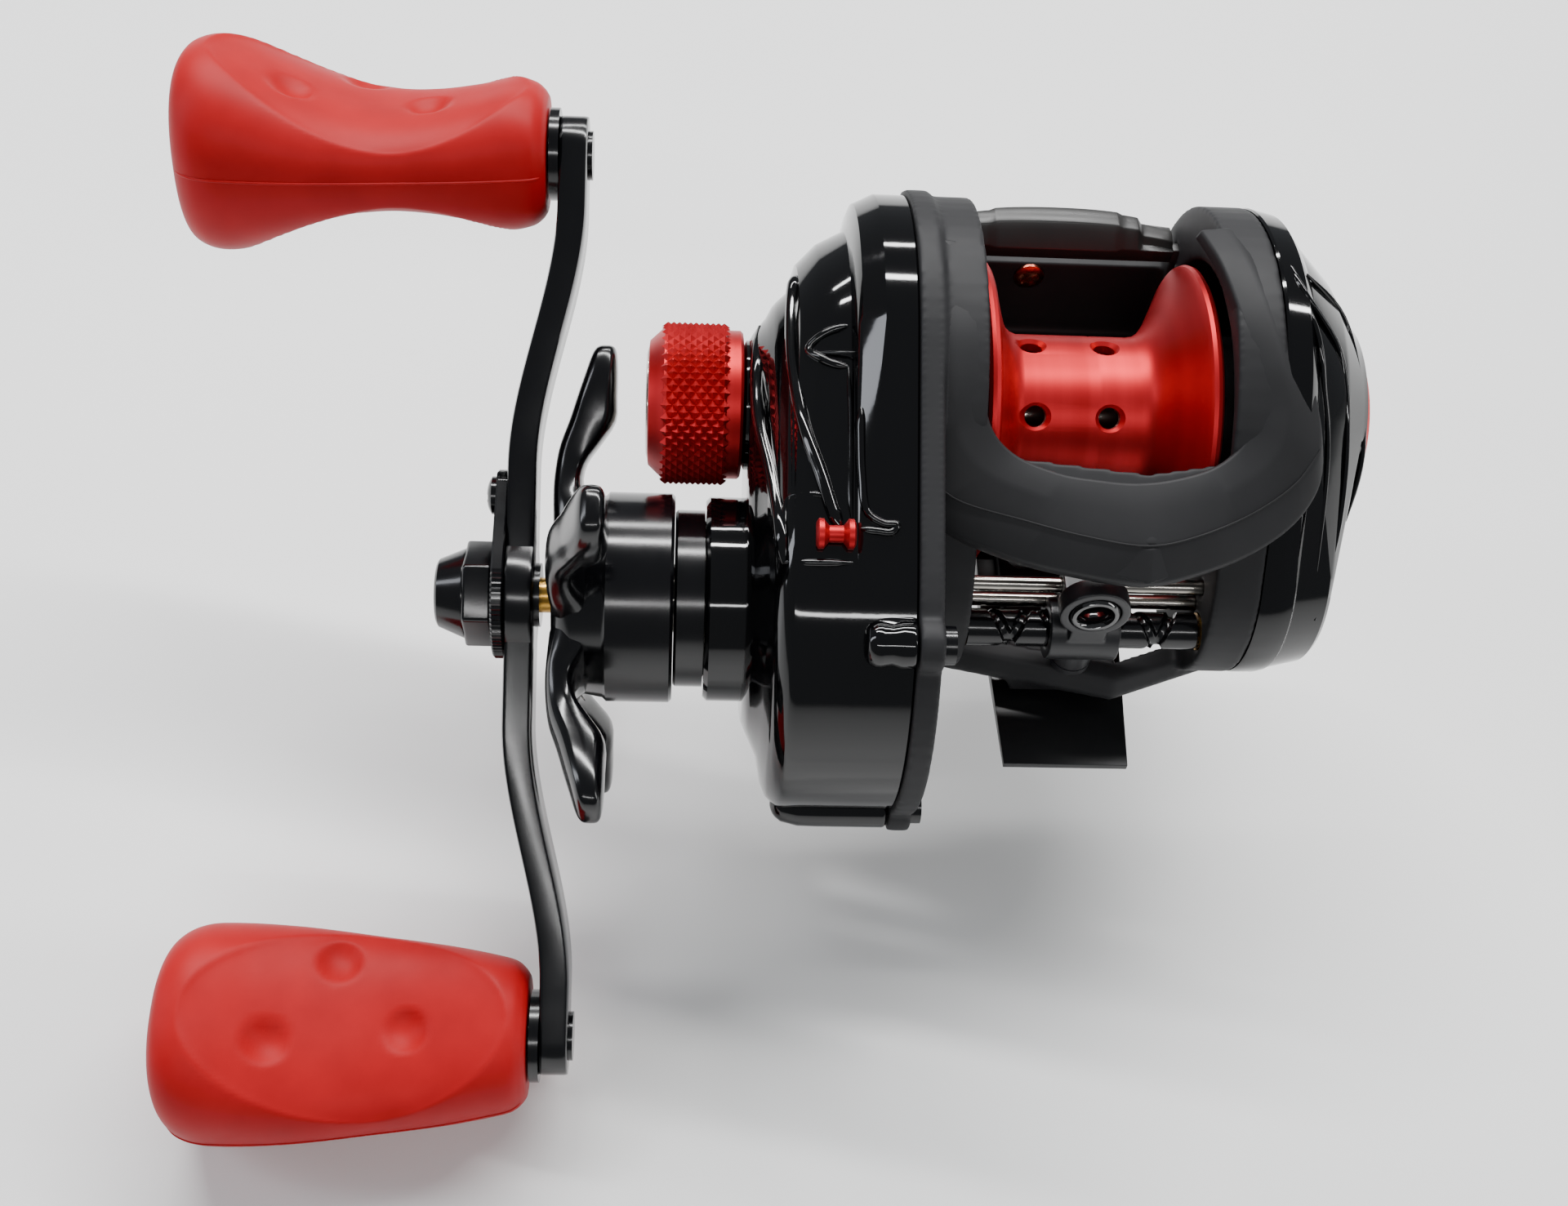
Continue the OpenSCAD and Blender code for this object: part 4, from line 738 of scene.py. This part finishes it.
number = add(knurl_tree, "GeometryNodeInputIndex").outputs[0]
spots = add(knurl_tree, "GeometryNodeMeshLine", [("Count", calc("MULTIPLY", given["Rows"], given["Teeth"]))])
row = calc("FLOOR", calc("DIVIDE", number, given["Teeth"]))
stagger = calc("ADD", calc("MODULO", number, given["Teeth"]), calc("MULTIPLY", row, 0.5))
angle = calc("MULTIPLY", calc("DIVIDE", stagger, given["Teeth"]), 2 * math.pi)
spot_x = calc("MULTIPLY_ADD", row, given["Pitch"], given["Start"])
sides = [calc("MULTIPLY", calc(trig, angle), given["Radius"]) for trig in ("COSINE", "SINE")]
raised = calc("ADD", sides[1], given["Axis height"])
spot = add(knurl_tree, "ShaderNodeCombineXYZ", [("X", spot_x), ("Y", sides[0]), ("Z", raised)])
placed = add(knurl_tree, "GeometryNodeSetPosition", [("Geometry", spots.outputs[0]),
                                                     ("Position", spot.outputs[0])])
outward = add(knurl_tree, "ShaderNodeCombineXYZ", [("Y", sides[0]), ("Z", sides[1])])
facing = add(knurl_tree, "FunctionNodeAlignRotationToVector", [("Vector", outward.outputs[0])], axis="Z",
             pivot_axis="X")
tooth = add(knurl_tree, "GeometryNodeMeshCone", Vertices=4, Radius_Top=0.00006, Radius_Bottom=0.00066,
            Depth=0.00046)
stamped = add(knurl_tree, "GeometryNodeInstanceOnPoints", [
    ("Points", placed.outputs[0]), ("Instance", tooth.outputs[0]), ("Rotation", facing.outputs[0])])
whole = add(knurl_tree, "GeometryNodeRealizeInstances", [("Geometry", stamped.outputs[0])])
dressed = add(knurl_tree, "GeometryNodeSetMaterial", [("Geometry", whole.outputs[0]),
                                                      ("Material", given["Finish"])])
add(knurl_tree, "NodeGroupOutput", [(0, dressed.outputs[0])])
maker = knurl_maker.modifiers.new("knurl", "NODES")
maker.node_group = knurl_tree
sockets = {item.name: item.identifier for item in face_of.items_tree if item.in_out == "INPUT"}
knurl_rows, knurl_teeth, row_pitch = 11, 38, 0.6
for label, value in (("Start", (knob_x + 2.0) * MM), ("Rows", knurl_rows), ("Teeth", knurl_teeth),
                     ("Pitch", row_pitch * MM),
                     ("Radius", knurl_r * MM), ("Axis height", spool_at[1] * MM),
                     ("Finish", red_anodised)):
    maker[sockets[label]] = value
teeth_mesh = bpy.data.meshes.new_from_object(
    knurl_maker.evaluated_get(bpy.context.evaluated_depsgraph_get()))
bpy.data.objects.remove(knurl_maker)
mesh_piece("cast_knob_cap", cap_mesh, red_anodised, "cast_knob_body", ["cast_control_knob"],
           30)
mesh_piece("cast_knob_knurl", teeth_mesh, red_anodised, "cast_knob_body", [], 20)
low, high = reach("cast_control_disc")
disc = turned([(low.x, 5.4), (low.x + 0.18, 5.95), (high.x, 5.95)], spool, 96, False)
mesh_piece("cast_knob_disc", solid("disc", *disc), polished_steel, "cast_knob_body",
           ["cast_control_disc"])

# ---------------------------------------------------------------- drag star
# Forged and black-anodised star. Its five bent arms grow out of a tall round hub, and a
# fine wire spring behind it clicks against the handle.
low, high = reach("star_drag")
hub_end, hub_r = high.x, 11.3
hub = turned([(hub_end, 8.6), (hub_end, hub_r - 0.35), (hub_end - 0.35, hub_r), (hub_end - 7.0, hub_r),
              (hub_end - 7.4, 10.9), (hub_end - 10.6, 10.3), (hub_end - 12.0, 9.2), (hub_end - 12.7, 7.6),
              (hub_end - 12.7, 4.9), (hub_end - 6.0, 4.9), (hub_end - 6.0, 8.6)], crank, 120)
ARM = [  # distance from the axis, front face, back face, half width
    (7.0, -13.0, -6.6, 5.6), (9.8, -13.1, -8.6, 4.7), (11.9, -13.1, -9.9, 3.7), (14.2, -12.9, -9.6, 3.0),
    (16.3, -12.5, -8.2, 2.9), (18.9, -11.6, -6.6, 3.1), (21.5, -10.8, -6.5, 3.3), (24.0, -10.0, -6.5, 3.2),
    (25.8, -9.4, -6.6, 2.7), (26.7, -8.9, -6.8, 2.0), (27.0, -8.3, -7.2, 1.0)]
star_arms, star_turn, blade_sides = 5, math.radians(35), 28
blades = [hub]
for k in range(star_arms):
    turn = 2 * math.pi * k / star_arms + star_turn
    out = Vector((0, math.cos(turn), math.sin(turn)))
    beside = Vector((0, -math.sin(turn), math.cos(turn)))
    rings = []
    for (reach_r, front, back, half), in smooth_path([[a] for a in ARM], 3):
        centre = Vector((hub_end + (front + back) / 2, crank[0], crank[1])) + out * reach_r
        ring = []
        for i in range(blade_sides):
            c, d = math.cos(2 * math.pi * i / blade_sides), math.sin(2 * math.pi * i / blade_sides)
            ring.append(tuple(
                centre + Vector((1, 0, 0)) * math.copysign(abs(c) ** 0.55, c) * (back - front) / 2
                + beside * math.copysign(abs(d) ** 0.75, d) * half))
        rings.append(ring)
    blades.append(lofted(rings))
mesh_piece("drag_star", solid("star", *joined(*blades)), gloss_metal, "star_body", ["star_drag"],
           40)
collar = turned([(hub_end + 0.06, 7.6), (hub_end + 0.06, 9.3), (hub_end + 0.35, 9.55), (hub_end + 3.2, 9.55),
                 (hub_end + 3.3, 7.6)], crank, 96)
mesh_piece("clutch_collar", solid("collar", *collar), gloss_metal, "reel_body", ["clutch_ring"])

spring_x = reach("star_click_spring")[0].x
wires = []
for side in (-1, 1):
    path = []
    for i in range(21):
        t = i / 20
        path.append((spring_x + 0.35 - 1.9 * math.sin(math.pi * t) * 0.9,
                     crank[0] + side * (3.9 + 5.6 * t), crank[1] + side * (2.2 + 3.9 * t)))
    wires.append(bead(path, 0.16))
coil_r = 4.05
ring_path = [(spring_x + 0.25, crank[0] + coil_r * math.cos(math.pi * i / 24),
              crank[1] + coil_r * math.sin(math.pi * i / 24)) for i in range(49)]
wires.append(bead(ring_path, 0.3))
mesh_piece("click_spring_wire", solid("wire", *joined(*wires)), polished_steel, "star_body",
           ["star_click_spring"], 60)

# ---------------------------------------------------------------- crank arm
# Double crank pressed from aluminium bar, bent in a soft S at each side and anodised
# gloss black. A knob turns at each end.
tilt = math.atan2(high_knob_at[1] - crank[1], high_knob_at[0] - crank[0])
arm_way = Vector((0, math.cos(tilt), math.sin(tilt)))
arm_side = Vector((0, -math.sin(tilt), math.cos(tilt)))
half_span = math.hypot(high_knob_at[0] - crank[0], high_knob_at[1] - crank[1])
low, high = reach("handle_arm")
arm_t, arm_left, bend = 3.0, low.x, 4.6
arm_half, boss_r, bend_from, bend_run = 4.1, 6.4, 13.5, 28


def on_arm(x, s, w):
    """A point of the crank: x along the shaft, s along the arm, w across it."""
    return tuple(Vector((x, crank[0], crank[1])) + arm_way * s + arm_side * w)


arm_rings = []
arm_end = half_span + arm_half
for i in range(161):
    s = arm_end * math.sin(math.pi / 2 * (i / 80 - 1)) * 0.9995
    over = max(0.0, abs(s) - half_span)
    half = max(math.sqrt(max(arm_half ** 2 - over ** 2, 0.02)),
               math.sqrt(max(0, boss_r ** 2 - s * s)) if abs(s) < 5 else 0)
    ease = min(max((abs(s) - bend_from) / bend_run, 0), 1)
    x = arm_left + bend * ease * ease * (3 - 2 * ease)
    c, edge = 0.42, min(0.42, half * 0.5)
    arm_rings.append([on_arm(x + a, s, b) for a, b in (
        (c, -half), (arm_t - c, -half), (arm_t - 0.12, -half + 0.12), (arm_t, -half + edge),
        (arm_t, half - edge), (arm_t - 0.12, half - 0.12), (arm_t - c, half), (c, half),
        (0.12, half - 0.12), (0, half - edge), (0, -half + edge), (0.12, -half + 0.12))])
mesh_piece("crank_arm", solid("arm", *lofted(arm_rings)), gloss_metal, "handle_body", ["handle_arm"],
           30)

# Black hex nut with a tapered cap, locked by a thin plate with a knurled rim that a small
# cross-head screw holds.
low, high = reach("handle_nut")
nut_r = 5.75
hexagon = [on_arm(high.x, nut_r * math.cos(math.pi * i / 3), nut_r * math.sin(math.pi * i / 3))
           for i in range(6)]
nut_body = lofted([hexagon, [(x - 3.1, y, z) for x, y, z in hexagon]])
nut_cap = turned([(low.x, 3.3), (low.x + 0.3, 3.7), (low.x + 2.9, 4.8), (low.x + 3.2, 4.9)], crank, 64, False)
nut_mesh = rounded(solid("nut", *nut_body), 0.35, 3)
mesh_piece("crank_nut", nut_mesh, gloss_metal, "handle_body", ["handle_nut"], 30)
mesh_piece("crank_nut_cap", rounded(solid("nut_cap", *nut_cap), 0.2, 3), gloss_metal, "handle_body", [],
           30)
low, high = reach("nut_retainer")
plate_rounds = ((0, 6.9), (11, 2.5))  # place along the arm and radius of the outline's two rounds
retainer = []
for x, shrink in ((low.x, 0.2), (low.x + 0.2, 0), (high.x - 0.15, 0), (high.x, 0.15)):
    outline = []
    for i in range(240):
        turn = 2 * math.pi * i / 240
        way = (math.cos(turn), math.sin(turn))
        far = max(plate_rounds, key=lambda c: c[0] * way[0] + c[1])
        tooth_out = 0.12 * (i % 3 == 0) if abs(turn - math.pi) < 2.6 else 0
        r = far[1] - shrink + tooth_out - 0.1
        outline.append(on_arm(x, far[0] + r * way[0], r * way[1]))
    retainer.append(outline)
mesh_piece("nut_lock_plate", solid("retainer", *lofted(retainer)), gloss_metal, "handle_body",
           ["nut_retainer"], 30)
low, high = reach("retainer_screw")
lock_screw = set_at(screw_head(2.05, 1.1), on_arm(low.x + 1.1, 10.6, 0), (-1, 0, 0), 0.6)
mesh_piece("lock_screw", solid("lock_screw", *lock_screw), gloss_metal, "handle_body",
           ["retainer_screw"], 30)

# ---------------------------------------------------------------- knobs
# Soft red rubber paddles moulded round a sleeve. Each broad face is scooped for the
# thumb, has three finger dimples, and a fine parting line runs round the mould's seam.
red_rubber, tree, shader, place = finish_of("moulded_red_rubber", "#A50C13", 0.5, Specular_IOR_Level=0.16)
two_tone(tree, shader, place, "#A00B12", "#AB0F16", 5)
speckle(tree, shader, place, 0.16, 0.007, 0.05, 0.5)
KNOB = [  # distance along the knob, half thickness, half width
    (0.0, 5.9, 6.4), (0.5, 6.6, 7.1), (1.6, 7.3, 7.9), (4.0, 7.75, 8.5), (8.0, 7.3, 9.3),
    (12.0, 6.8, 9.9), (16.0, 6.6, 10.4), (20.0, 7.0, 10.9), (24.0, 7.9, 11.3), (28.0, 9.2, 11.5),
    (31.5, 10.4, 11.5), (34.0, 10.8, 11.3), (36.0, 10.5, 10.5), (37.4, 9.6, 9.0), (38.2, 7.6, 6.6),
    (38.4, 4.6, 4.0), (38.4, 1.2, 1.1)]
DIMPLES = ((12.4, 0.7), (20.0, -6.6), (26.4, 2.3))


def paddle(centre, turned_by):
    """Points and faces of a knob whose thin way is turned from the arm's direction."""
    thin_way = arm_way * math.cos(turned_by) + arm_side * math.sin(turned_by)
    wide_way = arm_side * math.cos(turned_by) - arm_way * math.sin(turned_by)
    start = reach("upper_knob")[1].x
    rings, around = [], 144
    for (s, thin, wide), in smooth_path([[p] for p in KNOB], 8):
        ring = []
        for i in range(around):
            turn = 2 * math.pi * i / around
            c, d = math.cos(turn), math.sin(turn)
            v = thin * math.copysign(abs(c) ** 0.86, c)
            u = wide * math.copysign(abs(d) ** 0.86, d)
            scoop = 1 - ((s - 18.4) / 16.4) ** 2 - (u / 9.8) ** 2
            face = math.copysign(1, v)
            if scoop > 0 and abs(v) > 0.5:
                v -= face * 1.8 * scoop ** 0.66
            for ds, du in DIMPLES:
                away = math.hypot(s - ds, u - face * du) / 2.4
                if away < 1 and abs(v) > 1:
                    v -= face * 0.95 * (1 - away * away)
            ring.append(tuple(Vector((start - s, centre[0], centre[1])) + thin_way * v + wide_way * u))
        rings.append(ring)
    seams = []
    for side in (-1, 1):
        seams.append(bead([tuple(Vector((start - s, centre[0], centre[1])) + wide_way * wide * side)
                           for (s, thin, wide), in smooth_path([[p] for p in KNOB[1:14]], 8)], 0.14))
    return joined(lofted(rings), *seams)


# Each knob stands at its own angle on its post.
high_turn, low_turn = math.radians(34), math.radians(64)
for name, centre, turned_by, body in (("upper_knob", high_knob_at, high_turn, "upper_knob_body"),
                                      ("lower_knob", low_knob_at, low_turn, "lower_knob_body")):
    mesh_piece(name + "_paddle", solid(name + "_paddle", *paddle(centre, turned_by)), red_rubber, body,
               [name], 40)

# ---------------------------------------------------------------- finishes of the other parts
# Parts inside the case and behind the covers keep their CAD shape. Each takes the finish
# of its real material.
brass, tree, shader, place = finish_of("turned_brass", "#C79A48", 0.27, Metallic=1.0)
two_tone(tree, shader, place, "#B98A3A", "#D4A855", 2.5)
speckle(tree, shader, place, 0.3, 0.003)
fibre, tree, shader, place = finish_of("woven_carbon_fibre", "#151516", 0.45)
weave = add(tree, "ShaderNodeTexChecker", [("Vector", place)], Scale=900, Color1=shade("#101012"),
            Color2=shade("#232326"))
tree.links.new(weave.outputs["Color"], shader.inputs["Base Color"])
speckle(tree, shader, place, 0.4, 0.01)
white_acetal, tree, shader, place = finish_of("white_acetal", "#DAD8D0", 0.35, Subsurface_Weight=0.05)
two_tone(tree, shader, place, "#D2D0C7", "#E2E0D9", 2)
turned_alloy, tree, shader, place = finish_of("turned_aluminium", "#D4D5D8", 0.25, Metallic=1.0)
speckle(tree, shader, place, 0.25, 0.002, 0.05, 0.26)
gloss_red, tree, shader, place = finish_of("red_anodised_gloss", "#C2201C", 0.2, Metallic=1.0)
speckle(tree, shader, place, 0.2, 0.0015, 0.04, 0.2)
by_slot = {"matte_black": soft_black, "gloss_black": lacquer, "gloss_black_metal": gloss_metal,
           "red_anodised": gloss_red, "red_rubber": red_rubber, "steel": polished_steel, "brass": brass,
           "carbon": fibre, "white_plastic": white_acetal, "dark_plastic": mould_black,
           "silver_aluminium": turned_alloy, "ceramic_black": ceramic}
for part in frame["record"]["subparts"]:
    cad_mesh = frame["nodes"][part["node"]].data
    cad_mesh.materials.clear()
    cad_mesh.materials.append(by_slot[part["material_slot"]])
for name, material in (("cover_screws", gloss_metal), ("knob_posts", gloss_metal),
                       ("pawl_cap", mould_black), ("foot_rivets", foot_black)):
    frame["nodes"][name].data.materials[0] = material

low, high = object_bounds()
